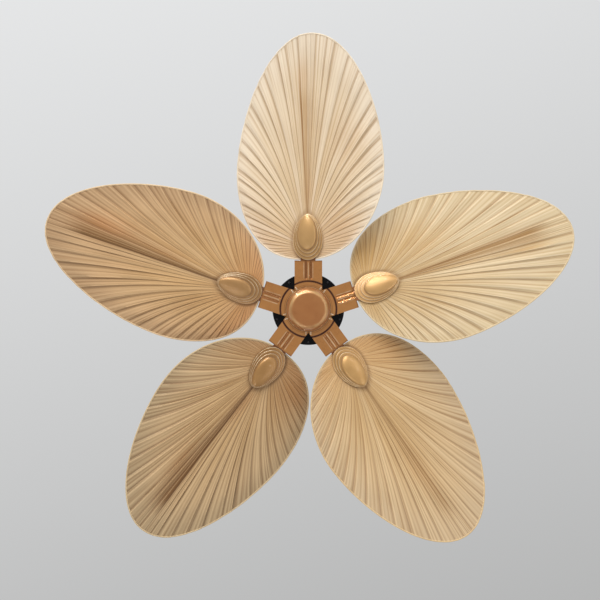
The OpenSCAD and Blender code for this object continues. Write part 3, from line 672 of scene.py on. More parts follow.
@dataclass(frozen=True)
class PalmFibre(Finish):
    """Dried palm leaf: long fibres along every pleat, painted shade in the creases, painted
    highlights on the ridges and a midrib.
    """

    tone: LeafTone
    pleats: int

    def paint(self, coat: Coat) -> None:
        """Lays the fibres.

        Args:
            coat: the surface's nodes.
        """
        tone = self.tone
        u, along, _ = coat.unrolled()
        pleat = u * float(self.pleats)
        streaks = coat.noise(coat.join(pleat * 5.0, along * 2.4, tone.seed), 1.0, 4.0, 0.6)
        fibres = coat.noise(coat.join(pleat * 26.0, along * 5.0, tone.seed + 7), 1.0, 3.0, 0.6)
        drift = coat.noise(coat.place(), 6.5, 3.0)
        strip, hue = (
            coat.node("ShaderNodeTexWhiteNoise", {"noise_dimensions": "1D"},
                      {"W": (pleat * count).math("FLOOR") + tone.seed * 31 * count})
            for count in (2.0, 1.0))
        vein = coat.noise(coat.join(pleat * 8.0, along * 1.4, tone.seed + 3), 1.0, 2.0)
        fold, fine = coat.mark("fold"), coat.mark("fine")
        dark = streaks * 0.9 + fibres * 0.3 + 0.35
        colour = coat.layers(
            tone.cream,
            (streaks.step(0.35, 0.72) * 0.45 + drift.step(0.35, 0.7) * 0.4 + strip * 0.35 - 0.12,
             tone.tan),
            (hue.step(0.4, 1.0) * streaks * 0.8, tone.pale),
            (along.step(0.3, 1.0) * (1.15 - streaks * 0.6), tone.outer),
            (coat.mark("root") * 0.6, tone.warm),
            (coat.mark("blush") * (0.25 + streaks * 1.1), tone.warm),
            (coat.mark("midrib") * tone.midrib_strength * dark, tone.midrib),
            (coat.mark("rib") * tone.midrib_strength * (0.5 + streaks * 0.7), tone.crease),
            (along.step(0.78, 1.0) * 0.7, tone.rim),
            # painted highlight on each pleat's ridge, painted shade in its crease
            (fold.step(0.66, 1.0) * (0.3 + fibres) * 0.5, tone.pale),
            (fold.step(-0.6, -1.0) * (0.4 + streaks) * 0.6, tone.crease),
            (vein.step(0.55, 0.68) * 0.3, tone.midrib),
            # painted shade in the fine ripples' hollows, painted highlight on their crests
            (fine.step(0.1, -0.9) * 0.55, tone.midrib),
            (fine.step(0.0, 0.9) * 0.4, tone.pale),
            (fibres.step(0.55, 0.8) * 0.25, tone.midrib),
            # painted shadow round the medallion
            (coat.mark("seat") * (0.3 + streaks * 0.45), tone.crease))
        coat.set(
            Base_Color=colour,
            Roughness=(fibres * 0.2 + streaks * 0.12 + 0.42).clamp(),
            Specular_IOR_Level=0.35,
        )
        coat.relief(fibres * 0.5 + streaks + vein, 0.8, 0.6)


@dataclass(frozen=True)
class StitchedHem(Finish):
    """Pale strip of fibre, woven across and held by a row of stitches."""

    colour: Colour
    thread: Colour = seen(244, 230, 202)
    gap: Colour = seen(170, 138, 94)
    stitches: int = 230

    def paint(self, coat: Coat) -> None:
        """Lays the weave and the stitches.

        Args:
            coat: the surface's nodes.
        """
        along, around, _ = coat.unrolled()
        rib = (along * float(self.stitches * 6)).math("FRACT")
        rib = (rib * (1 - rib) * 4.0).math("SQRT")
        dash = (along * float(self.stitches)).math("FRACT")
        dash = dash.step(0.1, 0.2) * dash.step(0.78, 0.68)
        line = ((around * 2.0).math("FRACT") - 0.375).math("ABSOLUTE").step(0.09, 0.04)
        stitch = dash * line
        stain = coat.noise(coat.place(), 24.0, 3.0)
        # the gap colour is painted shade between the weave's ribs, mixed with stains
        colour = coat.layers(self.colour, ((1 - rib) * 0.35 + stain.step(0.4, 0.75) * 0.3, self.gap),
                             (stitch * 0.6, self.thread))
        coat.set(Base_Color=colour, Roughness=(0.9 - rib * 0.2 - stitch * 0.1).clamp(),
                 Specular_IOR_Level=0.3, Sheen_Weight=0.15)
        coat.relief(rib * 0.4 + stitch * 0.8, 0.3, 0.6)


# Each paint's darkest colour is for painted shade in recesses, and its palest colour for painted
# highlights on edges.
GOLD = MetallicPaint(
    "antique_gold_paint", Slot.GOLD,
    colour=seen(178, 116, 60), shade=seen(159, 98, 48),
    hollow=seen(78, 28, 10), rubbed=seen(248, 232, 168), rough=0.3, metal=0.6, lacquer=0.85,
)
ARM_GOLD = ArmPaint(
    "antique_gold_arm_paint", Slot.GOLD,
    colour=seen(198, 139, 78), shade=seen(178, 118, 62),
    hollow=seen(72, 24, 8), rubbed=seen(255, 240, 210), rough=0.28, metal=0.75, lacquer=0.6,
    texture=0.12,
)
LIGHT_GOLD = MetallicPaint(
    "light_gold_paint_satin", Slot.LIGHT_GOLD,
    colour=seen(216, 176, 118), shade=seen(194, 152, 98),
    hollow=seen(112, 70, 32), rubbed=seen(255, 242, 212), rough=0.37, metal=0.55, lacquer=0.4,
)
BLACK = GlossPaint("black_gloss", Slot.BLACK)
CASTING = GlossPaint("black_cast_alloy", Slot.CASTING, colour=seen(22, 22, 24), rough=0.3)
ZINC = PlatedSteel("zinc_plate", Slot.ZINC)
STEEL = TurnedSteel("ground_steel", Slot.STEEL)
BLUED = TurnedSteel("blued_steel", Slot.STEEL, colour=(0.05, 0.05, 0.055, 1.0),
                    oiled=(0.02, 0.02, 0.022, 1.0))
PLATES = StackedPlates("stacked_plates", Slot.LAMINATION)
COPPER = WoundWire("enamelled_wire", Slot.COPPER)
WHITE_PLASTIC = MouldedPlastic("ivory_nylon", Slot.WHITE_PLASTIC)
DARK_PLASTIC = MouldedPlastic("dark_moulding", Slot.DARK_PLASTIC,
                              colour=seen(44, 44, 48), mark=seen(62, 62, 64))
LEAD = MouldedPlastic("lead_sleeve", Slot.LEAD, colour=seen(186, 40, 34), mark=seen(150, 28, 26),
                      rough=0.36)


# ---------- workbench ----------


def take(piece: Object) -> None:
    """Makes a piece the one that operators act on.

    Args:
        piece: the piece.
    """
    if bpy.context.object is not None and bpy.context.object.mode != "OBJECT":
        bpy.ops.object.mode_set(mode="OBJECT")
    bpy.ops.object.select_all(action="DESELECT")
    piece.select_set(True)
    bpy.context.view_layer.objects.active = piece


def started(name: str) -> Object:
    """Names the piece that was just added.

    Args:
        name: its name, which its mesh takes too.

    Returns:
        The piece.
    """
    piece = bpy.context.object
    piece.name = name
    piece.data.name = name
    return piece


def begun(name: str, add: Callable[..., Any], **settings: Any) -> Object:
    """Adds a primitive with nothing else selected, and names it.

    Args:
        name: the piece's name.
        add: the operator that adds the primitive.
        settings: the primitive's size, place and faces.

    Returns:
        The piece.
    """
    bpy.ops.object.select_all(action="DESELECT")
    add(**settings)
    return started(name)


class Bench:
    """A piece in edit mode, for as long as a with block lasts."""

    def __init__(self, piece: Object) -> None:
        """Keeps the piece."""
        self.piece = piece

    def __enter__(self) -> "Bench":
        """Goes into edit mode."""
        take(self.piece)
        bpy.ops.object.mode_set(mode="EDIT")
        return self

    def __exit__(self, *_: Any) -> None:
        """Goes back to object mode."""
        bpy.ops.object.mode_set(mode="OBJECT")

    def pick_all(self) -> None:
        """Selects everything."""
        bpy.ops.mesh.select_all(action="SELECT")

    def pick(self, test: Callable[[bmesh.types.BMVert], bool]) -> None:
        """Selects the vertices that pass a test, and what lies between them.

        Args:
            test: whether a vertex is wanted.
        """
        bpy.ops.mesh.select_mode(type="VERT")
        bpy.ops.mesh.select_all(action="DESELECT")
        work = bmesh.from_edit_mesh(self.piece.data)
        for vertex in work.verts:
            vertex.select = test(vertex)
        work.select_flush(True)
        bmesh.update_edit_mesh(self.piece.data)

    def pull(self, by: Sequence[float]) -> None:
        """Extrudes what is selected and moves it, in metres."""
        bpy.ops.mesh.extrude_region_move(TRANSFORM_OT_translate={"value": tuple(by)})

    def move(self, by: Sequence[float]) -> None:
        """Moves what is selected, in metres."""
        bpy.ops.transform.translate(value=tuple(by))

    def resize(self, by: Sequence[float], about: Sequence[float]) -> None:
        """Scales what is selected about a point."""
        bpy.ops.transform.resize(value=tuple(by), center_override=tuple(about))

    def cut(self, at: Sequence[float], facing: Sequence[float]) -> None:
        """Cuts the faces that are selected with a plane through a point, given in millimetres."""
        bpy.ops.mesh.bisect(plane_co=[float(part) * MM for part in at],
                            plane_no=[float(part) for part in facing])

    def tidy(self, reach: float = WELD) -> None:
        """Merges doubles and turns every face outwards."""
        self.pick_all()
        bpy.ops.mesh.remove_doubles(threshold=reach)
        bpy.ops.mesh.normals_make_consistent(inside=False)


def use_modifier(piece: Object, kind: str, **settings: Any) -> None:
    """Adds a modifier to a piece and applies it.

    Args:
        piece: the piece.
        kind: the modifier's type.
        settings: its properties.
    """
    take(piece)
    bpy.ops.object.modifier_add(type=kind)
    modifier = piece.modifiers[-1]
    for name, value in settings.items():
        setattr(modifier, name, value)
    bpy.ops.object.modifier_apply(modifier=modifier.name)


def round_edges(piece: Object, width: float, segments: int = 2) -> None:
    """Rounds a piece's sharp edges, and marks the middle of each rounding for a painted edge
    highlight.

    Args:
        piece: the piece.
        width: how far back from an edge the rounding starts, in millimetres.
        segments: faces across the rounding.
    """
    piece.data.materials.clear()
    for _ in range(2):
        piece.data.materials.append(None)
    use_modifier(piece, "BEVEL", width=width * MM, segments=segments, limit_method="ANGLE",
                 angle_limit=SHARP, use_clamp_overlap=True, material=1)
    mesh = piece.data
    rounding = np.zeros(len(mesh.polygons), int)
    corners_of = np.zeros(len(mesh.polygons), int)
    vertex = np.zeros(len(mesh.loops), int)
    mesh.polygons.foreach_get("material_index", rounding)
    mesh.polygons.foreach_get("loop_total", corners_of)
    mesh.loops.foreach_get("vertex_index", vertex)
    painted_highlight = np.ones(len(mesh.vertices))
    painted_highlight[vertex[np.repeat(rounding, corners_of) == 0]] = 0.0
    put_mark(piece, "painted_highlight", painted_highlight)
    mesh.polygons.foreach_set("material_index", np.zeros(len(rounding), int))
    mesh.materials.clear()


def smooth(piece: Object, angle: float, weighted: bool = False) -> None:
    """Shades a piece smoothly, except across edges that turn by more than an angle.

    Args:
        piece: the piece.
        angle: that angle in degrees.
        weighted: whether large flat faces keep their own normals.
    """
    take(piece)
    bpy.ops.object.shade_smooth_by_angle(angle=math.radians(angle))
    if weighted:
        use_modifier(piece, "WEIGHTED_NORMAL", keep_sharp=True, weight=80)


def seat(piece: Object, place: Matrix) -> Object:
    """Moves a piece to its place and leaves its object at the origin, unturned.

    Args:
        piece: the piece.
        place: the move.

    Returns:
        The piece.
    """
    take(piece)
    piece.matrix_world = place @ piece.matrix_world
    bpy.ops.object.transform_apply(location=True, rotation=True, scale=True)
    return piece


def twin(piece: Object, name: str) -> Object:
    """Copies a piece with a mesh of its own."""
    take(piece)
    bpy.ops.object.duplicate(linked=False)
    return started(name)


def points_of(piece: Object) -> np.ndarray:
    """Gives the places of a piece's vertices, one row each, in millimetres."""
    flat = np.zeros(len(piece.data.vertices) * 3)
    piece.data.vertices.foreach_get("co", flat)
    return flat.reshape(-1, 3) / MM


def put_points(piece: Object, points: np.ndarray) -> None:
    """Places a piece's vertices, given in millimetres."""
    piece.data.vertices.foreach_set("co", (points * MM).ravel())
    piece.data.update()


def put_mark(piece: Object, name: str, values: np.ndarray) -> None:
    """Writes a number on each of a piece's vertices for its material to read."""
    attribute = piece.data.attributes.new(name, "FLOAT", "POINT")
    attribute.data.foreach_set("value", values.astype(np.float32).ravel())


def ease(values: np.ndarray, low: float, high: float) -> np.ndarray:
    """Goes smoothly from 0 at low to 1 at high."""
    share = np.clip((values - low) / (high - low), 0.0, 1.0)
    return share * share * (3 - 2 * share)


def arc(centre: Point, radii: Point, start: float, end: float, steps: int) -> Profile:
    """Gives points along part of an ellipse.

    Args:
        centre: its centre, as radius and height.
        radii: how far it reaches outwards and upwards.
        start: the angle it starts at, in degrees; 0 is outwards and 90 is up.
        end: the angle it ends at.
        steps: how many steps there are.

    Returns:
        The points, with both ends.
    """
    angles = [math.radians(start + (end - start) * i / steps) for i in range(steps + 1)]
    return [(centre[0] + radii[0] * math.cos(a), centre[1] + radii[1] * math.sin(a)) for a in angles]


@dataclass
class Turning:
    """A round piece, spun about the fan's axis from the line of its section."""

    name: str
    section: Profile
    closed: bool = True
    edge: float = 0.4
    around: int = 144

    def build(self) -> Object:
        """Draws the section point by point, spins it and rounds its corners.

        Returns:
            The piece.
        """
        piece = begun(self.name, bpy.ops.mesh.primitive_plane_add, size=MM)
        line = self.section + self.section[:1] if self.closed else self.section
        with Bench(piece) as bench:
            bpy.ops.mesh.merge(type="CENTER")
            bench.move((line[0][0] * MM, 0.0, line[0][1] * MM))
            for (r, z), (next_r, next_z) in zip(line, line[1:]):
                bpy.ops.mesh.extrude_vertices_move(
                    TRANSFORM_OT_translate={"value": ((next_r - r) * MM, 0.0, (next_z - z) * MM)})
            bench.pick_all()
            bpy.ops.mesh.remove_doubles(threshold=WELD)
            bench.pick_all()
            bpy.ops.mesh.spin(steps=self.around, angle=FULL_TURN, center=(0, 0, 0), axis=(0, 0, 1))
            bench.tidy(2 * WELD)
        round_edges(piece, self.edge)
        smooth(piece, 40.0, weighted=True)
        return piece


def refined(node: str, edge: float, shape: Callable[[Object], None] | None = None) -> Object:
    """Gives a merged copy of a node whose shape is right, with the soft edges of the real part.

    Args:
        node: the node's name.
        edge: the width of the rounding of its edges in millimetres, or 0 where they stay sharp.
        shape: what changes the copy before its edges are rounded.

    Returns:
        The copy.
    """
    piece = bpy.data.objects.new(f"{node}_finished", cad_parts[node].data.copy())
    bpy.context.scene.collection.objects.link(piece)
    piece.data.materials.clear()
    with Bench(piece) as bench:
        bench.pick_all()
        bpy.ops.mesh.customdata_custom_splitnormals_clear()
        bpy.ops.mesh.remove_doubles(threshold=2 * WELD)
        bpy.ops.mesh.dissolve_limited(angle_limit=FLAT)
    if shape:
        shape(piece)
    if edge:
        round_edges(piece, edge)
    smooth(piece, 35.0, weighted=True)
    return piece


# ---------- sub-assemblies ----------


@dataclass
class Assembly:
    """Pieces that belong together."""

    name: str
    body: Body
    kept: dict[str, tuple[Finish, float]] = field(default_factory=dict)

    def stand_for(self, piece: Object, finish: Finish, node: str) -> None:
        """Finishes a new piece and puts it in the place of a CAD node.

        Args:
            piece: the piece.
            finish: what it is covered with.
            node: the node that it stands for.
        """
        finish.cover(piece)
        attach(piece, self.body.value)
        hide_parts(node)
        log.info("%s: %s, %d faces", self.name, piece.name, len(piece.data.polygons))

    def build(self) -> None:
        """Makes the assembly's new pieces."""

    def dress(self) -> None:
        """Refines the nodes whose shape is kept."""
        for node, (finish, edge) in self.kept.items():
            self.stand_for(refined(node, edge), finish, node)


@dataclass
class CeilingMount(Assembly):
    """Bracket, canopy and trim ring, which stay on the ceiling."""

    name: str = "ceiling mount"
    body: Body = Body.MOUNT
    radius: float = 68.0
    wall: float = 1.5
    top: float = -0.8
    straight: float = -20.0
    foot: float = -72.0
    foot_radius: float = 36.0
    hole: float = 26.0
    trim_inner: float = 21.05
    trim_outer: float = 34.5
    trim_height: float = 3.0
    trim_chamfer: float = 1.4
    steps: int = 22

    def build(self) -> None:
        """Spins the canopy and its trim ring."""
        span = (self.radius - self.foot_radius, self.straight - self.foot)
        centre = (self.foot_radius, self.straight)
        outer = arc(centre, span, 0, -90, self.steps)
        inner = arc(centre, (span[0] - self.wall, span[1] - self.wall), -90, 0, self.steps)
        section = [(self.radius, self.top), *outer, (self.hole, self.foot),
                   (self.hole, self.foot + self.wall), *inner, (self.radius - self.wall, self.top)]
        self.stand_for(Turning("canopy_shell", section, around=160).build(), GOLD, "canopy")
        low = self.foot - self.trim_height
        ring = [(self.trim_inner, self.foot), (self.trim_inner, low),
                (self.trim_outer - self.trim_chamfer, low),
                (self.trim_outer, low + self.trim_chamfer), (self.trim_outer, self.foot)]
        self.stand_for(Turning("canopy_foot_ring", ring, edge=0.5).build(), GOLD, "canopy_trim_ring")


@dataclass
class HangingStem(Assembly):
    """Ball, downrod and coupling between the bracket and the motor."""

    name: str = "hanging stem"
    body: Body = Body.HANGING
    rod_radius: float = 13.35
    rod_wall: float = 2.0
    rod_top: float = -22.0
    rod_low: float = -182.0
    cover_radius: float = 46.0
    cover_foot: float = -192.0
    cover_height: float = 50.0
    cover_wall: float = 1.6
    neck_gap: float = 0.85
    neck_height: float = 5.0
    steps: int = 24

    def build(self) -> None:
        """Spins the downrod and the coupling's cover."""
        inner = self.rod_radius - self.rod_wall
        rod = [(inner, self.rod_top), (inner, self.rod_low),
               (self.rod_radius, self.rod_low), (self.rod_radius, self.rod_top)]
        self.stand_for(Turning("downrod_tube", rod, edge=0.5, around=72).build(), GOLD, "downrod")
        collar = self.rod_radius + self.neck_gap
        neck = collar + self.cover_wall
        span = (self.cover_radius - neck, self.cover_height)
        top = self.cover_foot + self.cover_height
        outer = arc((neck, self.cover_foot), span, 0, 90, self.steps)
        inside = arc((neck, self.cover_foot),
                     (span[0] - self.cover_wall, span[1] - self.cover_wall), 90, 0, self.steps)
        cover = [*outer, (neck, top + self.neck_height), (collar, top + self.neck_height),
                 (collar, top - self.cover_wall), *inside]
        self.stand_for(Turning("coupling_bell", cover, around=120).build(), GOLD, "coupling_cover")


@dataclass
class Motor(Assembly):
    """Housing, shaft and stator of the motor."""

    name: str = "motor"
    body: Body = Body.HANGING
    radius: float = 85.6
    wall: float = 1.6
    top: float = -192.0
    shoulder: float = -218.0
    skirt: float = -254.0
    shoulder_width: float = 35.6
    hub: float = 15.2
    bead: tuple[Point, ...] = ((0.0, 6.5), (0.7, 5.6), (0.7, 4.6), (0.0, 3.7))
    foot_lip: Point = (0.8, 3.0)
    steps: int = 24

    def build(self) -> None:
        """Spins the upper housing, with a rolled bead above its skirt's foot."""
        centre = (self.radius - self.shoulder_width, self.shoulder)
        rise = self.top - self.shoulder
        outer = arc(centre, (self.shoulder_width, rise), 90, 0, self.steps)
        inner = arc(centre, (self.shoulder_width - self.wall, rise - self.wall), 0, 90, self.steps)
        bead = [(self.radius - inward, self.skirt + above) for inward, above in self.bead]
        inside, lip = self.radius - self.wall, self.skirt + self.foot_lip[1]
        thick = inside - self.foot_lip[0]
        section = [(self.hub, self.top), *outer, *bead, (self.radius, self.skirt),
                   (thick, self.skirt), (thick, lip), (inside, lip), *inner,
                   (self.hub, self.top - self.wall)]
        self.stand_for(Turning("motor_housing", section, around=192).build(), GOLD, "upper_housing")


@dataclass
class HubCap(Assembly):
    """Dome under the hub and the plate that holds it."""

    name: str = "hub cap"
    body: Body = Body.ROTOR
    lip: float = 53.0
    lip_thick: float = 2.0
    wall: float = 49.0
    thick: float = 2.0
    fillet: float = 13.0
    fillet_steps: tuple[int, int] = (18, 12)
    top: float = -276.0
    low: float = -304.0
    skirt_top: float = -269.5
    skirt: Point = (45.4, 47.2)
    lug_angles: tuple[float, ...] = (90.0, 210.0, 330.0)
    lug_at: Triple = (44.5, 0.0, -270.7)
    lug_size: Triple = (2.6, 18.4, 2.0)
    lug_edge: float = 0.3
    # a ring of painted highlight on the dome's round shoulder
    highlight_at: float = 42.8
    highlight_width: float = 4.2
    highlight_share: float = 0.24

    def build(self) -> None:
        """Spins the dome and adds the three lugs inside its skirt."""
        centre = (self.wall - self.fillet, self.low + self.fillet)
        outer = arc(centre, (self.fillet, self.fillet), 0, -90, self.fillet_steps[0])
        inner_radius = self.fillet - self.thick
        inner = arc(centre, (inner_radius, inner_radius), -90, 0, self.fillet_steps[1])
        under = self.top - self.lip_thick
        section = [(0.0, self.low + self.thick), *inner, (self.wall - self.thick, under),
                   (self.skirt[0], under), (self.skirt[0], self.skirt_top),
                   (self.skirt[1], self.skirt_top), (self.skirt[1], self.top),
                   (self.lip, self.top), (self.lip, under), (self.wall, under), *outer,
                   (0.0, self.low)]
        dome = Turning("hub_dome", section, closed=False, edge=0.5, around=192).build()
        self.brighten_shoulder(dome)
        lugs = [self.lug(angle) for angle in self.lug_angles]
        take(dome)
        for lug in lugs:
            lug.select_set(True)
        bpy.ops.object.join()
        self.stand_for(dome, GOLD, "centre_dome")

    def brighten_shoulder(self, dome: Object) -> None:
        """Marks a ring of painted highlight on the dome's round shoulder.

        Args:
            dome: the dome.
        """
        x, y, z = points_of(dome).T
        shoulder = np.exp(-((np.hypot(x, y) - self.highlight_at) / self.highlight_width) ** 2)
        painted_highlight = dome.data.attributes["painted_highlight"].data
        before = np.zeros(len(z))
        painted_highlight.foreach_get("value", before)
        outside = z < self.low + self.fillet
        painted_highlight.foreach_set("value", np.maximum(before, self.highlight_share * shoulder * outside))

    def lug(self, angle: float) -> Object:
        """Makes one lug, a small block that rests on the cap plate's tab.

        Args:
            angle: its direction from the fan's axis, in degrees.

        Returns:
            The lug.
        """
        piece = begun("dome_lug", bpy.ops.mesh.primitive_cube_add, size=1.0,
                      location=Vector(self.lug_at) * MM, scale=Vector(self.lug_size) * MM)
        bpy.ops.object.transform_apply(location=True, rotation=True, scale=True)
        round_edges(piece, self.lug_edge, 1)
        return seat(piece, Matrix.Rotation(math.radians(angle), 4, "Z"))


@dataclass
class LeafShape:
    """Outline and form of a leaf in the pitched frame of its blade, along +X."""

    root: float = 118.0
    tip: float = 660.0
    width: float = 364.0
    widest: float = 335.884
    focus: float = 185.0
    rise: float = 9.0
    sag: float = 12.0
    flat: float = 48.0
    turn: float = 1.5
    root_powers: Point = (0.4, 0.5)
    tip_power: float = 1.7
    halvings: int = 34

    def half_width(self, x: np.ndarray, side: np.ndarray) -> np.ndarray:
        """Gives half of the leaf's width.

        Args:
            x: where along the leaf.
            side: below 0 on one side of the midrib and above 0 on the other.

        Returns:
            The distance from the midrib to the edge.
        """
        inward = x < self.widest
        u = np.where(inward, (self.widest - x) / (self.widest - self.root),
                     (x - self.widest) / (self.tip - self.widest)).clip(0.0, 1.0)
        near = (1 - u ** 2) ** np.where(side < 0, *self.root_powers)
        return self.width / 2 * np.where(inward, near, (1 - u ** self.tip_power) ** 0.5)

    def edge(self, angle: np.ndarray) -> np.ndarray:
        """Finds the leaf's edge.

        Args:
            angle: directions from the leaf's focus.

        Returns:
            The point of the edge in each direction.
        """
        near = np.zeros_like(angle)
        far = np.full_like(angle, self.tip - self.root)
        for _ in range(self.halvings):
            middle = (near + far) / 2
            x = self.focus + middle * np.cos(angle)
            y = middle * np.sin(angle)
            inside = np.abs(y) < self.half_width(x, y)
            near = np.where(inside, middle, near)
            far = np.where(inside, far, middle)
        return np.stack([self.focus + near * np.cos(angle), near * np.sin(angle)], -1)

    def height(self, x: np.ndarray, y: np.ndarray) -> np.ndarray:
        """Gives the height of the unpleated leaf: sides that rise and a tip that droops."""
        sides = (np.abs(y) - self.flat).clip(0.0) / (self.width / 2 - self.flat)
        droop = (x - self.focus - self.flat).clip(0.0) / (self.tip - self.focus - self.flat)
        return self.rise * sides - self.sag * droop ** 2

    def place(self) -> Matrix:
        """Gives the small turn of the leaf in its own plane."""
        there = Matrix.Translation((self.widest * MM, 0, 0))
        return there @ Matrix.Rotation(math.radians(self.turn), 4, "Z") @ there.inverted()


@dataclass
class PalmLeaf:
    """One pleated palm leaf and the hem around it."""

    number: int
    tone: LeafTone
    shape: LeafShape = field(default_factory=LeafShape)
    pleats: int = 56
    rings: int = 46
    thick: float = 1.6
    fold: float = 2.8
    steepness: float = 0.078
    fineness: float = 0.028
    hem_width: float = 3.4
    hem_height: float = 3.2
    hem_square: float = 0.6
    hem_sides: int = 10
    hem_skip: int = 2
    hem_overlap: float = 1.3
    broad_steps: int = 6
    steep_steps: int = 2
    rib_power: float = 1.4
    ring_power: float = 0.92
    spring: Point = (160.0, 25.0)
    bow: float = 0.3
    bow_angles: Point = (32.0, 72.0)
    first_ring: float = 7.0
    bend_at: float = 0.52
    cast_at: float = 163.0
    cast_reach: Triple = (45.0, 66.0, 36.0)
    cast_scale: float = 30.0
    covered: Triple = (-5.0, 0.0, 16.0)
    covered_share: float = 0.06
    neck_sides: Point = (17.0, 30.0)
    neck_ends: Point = (134.0, 150.0)
    calm_from: float = 0.84
    calm: float = 0.7
    wander: Triple = (0.22, 31.0, 2.1)
    ripple: Point = (0.9, 0.6)
    ripple_lengths: tuple[float, ...] = (43.0, 37.0, 19.0, 23.0)
    fine_power: float = 0.4
    fine_most: float = 22.0
    band_from: float = 225.0
    band_half: float = 6.5
    band_power: float = 1.1
    band_edge: Point = (-2.4, 0.6)
    band_core: Point = (0.3, 0.5)
    band_fade: float = 85.0
    band_lines: tuple[tuple[float, ...], ...] = ((0.8, 0.0, 1.7, 1.0), (0.0, 0.45, 1.6, 0.5))
    line_start: float = 10.0
    root_reach: float = 78.0
    shadow_reach: float = 2.8
    mouth: Triple = (12.0, 124.5, 200.0)
    seed: int = 40
    shifts: Point = (-0.2, 0.2)
    crests: Point = (0.8, 0.92)
    depths: Point = (0.6, 1.2)
    jitters: Point = (-0.25, 0.25)

    def __post_init__(self) -> None:
        """Draws the leaf's own irregularities from its number."""
        chance = np.random.default_rng(self.seed + self.number)
        count = self.pleats + 1
        self.shift = chance.uniform(*self.shifts, count)
        self.shift[[0, self.pleats // 2, -1]] = 0.0
        outer = chance.uniform(*self.crests, count)
        self.crest = np.where(np.arange(count) < self.pleats / 2, 1 - outer, outer)
        self.depth = chance.uniform(*self.depths, count)
        self.wave = chance.uniform(0.0, FULL_TURN, 8)
        self.lines = self.pleats * (self.broad_steps + self.steep_steps) + 1
        self.jitter = chance.uniform(*self.jitters, self.lines)
        self.grain = chance.uniform(0.0, 1.0, (3, self.lines))

    def columns(self) -> tuple[np.ndarray, np.ndarray, np.ndarray, np.ndarray]:
        """Gives, for each line from the root to the edge, its pleat, phase, direction and count.

        Returns:
            The number of the pleat, how far across it the line is, the line's direction from the
            leaf's focus, and its place in the count of pleats.
        """
        broad = 0.5 * np.arange(self.broad_steps) / self.broad_steps
        steep = 0.5 + 0.5 * np.arange(self.steep_steps) / self.steep_steps
        outward = np.concatenate([broad, steep])
        inward = np.append(0.0, 1 - outward[:0:-1])
        half = self.pleats // 2
        phase = np.concatenate([np.tile(inward, half), np.tile(outward, half), [1.0]])
        pleat = np.append(np.repeat(np.arange(self.pleats), len(outward)), self.pleats - 1)
        loose = np.minimum(np.abs(phase - 0.5), 0.5 - np.abs(phase - 0.5)) > 0.01
        phase = phase + loose * self.jitter * 0.5 / self.broad_steps
        crest = self.crest[pleat]
        across = np.where(phase < 0.5, phase / 0.5 * crest, crest + (phase - 0.5) / 0.5 * (1 - crest))
        at = pleat + across
        at = at + np.interp(at, np.arange(self.pleats + 1), self.shift)
        share = 2 * at / self.pleats - 1
        return pleat, phase, np.pi * np.sign(share) * np.abs(share) ** self.rib_power, at

    def surface(self) -> dict[str, np.ndarray]:
        """Works out the folded underside, as lines by rings of points.

        Returns:
            The points and, for the same places, the shares and masks that the fibres are painted by.
        """
        pleat, phase, angle, at = self.columns()
        edge = self.shape.edge(angle)
        inward = self.inward(edge)
        edge = edge + inward * self.hem_overlap
        spring = self.spring[0] - self.spring[1] * np.abs(angle) / np.pi
        chord = np.arctan2(edge[:, 1], edge[:, 0] - spring)
        leave = chord * (1 - self.bow * (1 - ease(np.abs(chord), *np.radians(self.bow_angles))))
        heading = np.stack([np.cos(leave), np.sin(leave)], -1)
        start = self.first_ring * heading
        start[:, 0] += spring
        length = np.linalg.norm(edge - start, axis=-1)
        bend = start + self.bend_at * length[:, None] * heading
        q = np.linspace(0.0, 1.0, self.rings) ** self.ring_power
        plan = (start[:, None] * ((1 - q) ** 2)[None, :, None]
                + bend[:, None] * (2 * q * (1 - q))[None, :, None]
                + edge[:, None] * (q ** 2)[None, :, None])
        x, y = plan[..., 0], plan[..., 1]
        across = np.gradient(plan, axis=0) / np.gradient(at)[:, None, None]
        path = np.gradient(plan, axis=1)
        path /= np.linalg.norm(path, axis=-1, keepdims=True).clip(1e-9)
        spacing = np.abs(across[..., 0] * path[..., 1] - across[..., 1] * path[..., 0])
        off = self.outside(x, y)
        under, edge_of, clear = self.covered
        ramp = (self.covered_share * ease(off, under, edge_of)
                + (1 - self.covered_share) * ease(off, edge_of, clear))
        neck = ease(np.abs(y), *self.neck_sides) + ease(x, *self.neck_ends)
        ramp = ramp * neck.clip(0.0, 1.0)
        profile = 1 - 4 * np.abs(phase - 0.5)
        swing, reach, turn = self.wander
        wander = 1 + swing * np.sin(x / reach + self.wave[0] + pleat[:, None] * turn)
        height = np.minimum(self.steepness * spacing, self.fold) * self.depth[pleat][:, None] * wander
        height = height * ramp * (1 - self.calm * ease(q, self.calm_from, 1.0))[None, :]
        lengths = self.ripple_lengths
        ripple = (np.sin(x / lengths[0] + self.wave[1]) * np.sin(y / lengths[1] + self.wave[2])
                  + self.ripple[1] * np.sin(x / lengths[2] + y / lengths[3] + self.wave[3]))
        grain = sum(line[:, None] * np.clip(1 - np.abs(2 * q - k), 0.0, 1.0)[None, :]
                    for k, line in enumerate(self.grain))
        side = (-1.0) ** np.arange(self.lines)
        fine = grain * (side * (1 - np.abs(profile)) ** self.fine_power)[:, None]
        rough = self.fineness * spacing.clip(0.0, self.fine_most) * fine
        folds = height * profile[:, None]
        z = self.shape.height(x, y) - folds + (self.ripple[0] * ripple - rough) * ramp
        whole = np.ones_like(x)
        return {
            "x": x, "y": y, "z": z, "q": q[None, :] * whole, "u": at[:, None] / self.pleats * whole,
            "fold": profile[:, None] * whole, "fine": fine,
            "edge": edge - inward * self.hem_overlap, "inward": inward,
        }

    @staticmethod
    def inward(edge: np.ndarray) -> np.ndarray:
        """Gives the directions square to the leaf's edge, towards its middle.

        Args:
            edge: the points of the edge, with the first one again at the end.

        Returns:
            A direction for each point.
        """
        closed = np.concatenate([edge[-2:-1], edge, edge[1:2]])
        along = closed[2:] - closed[:-2]
        along /= np.linalg.norm(along, axis=-1, keepdims=True).clip(1e-9)
        return np.stack([-along[:, 1], along[:, 0]], -1)

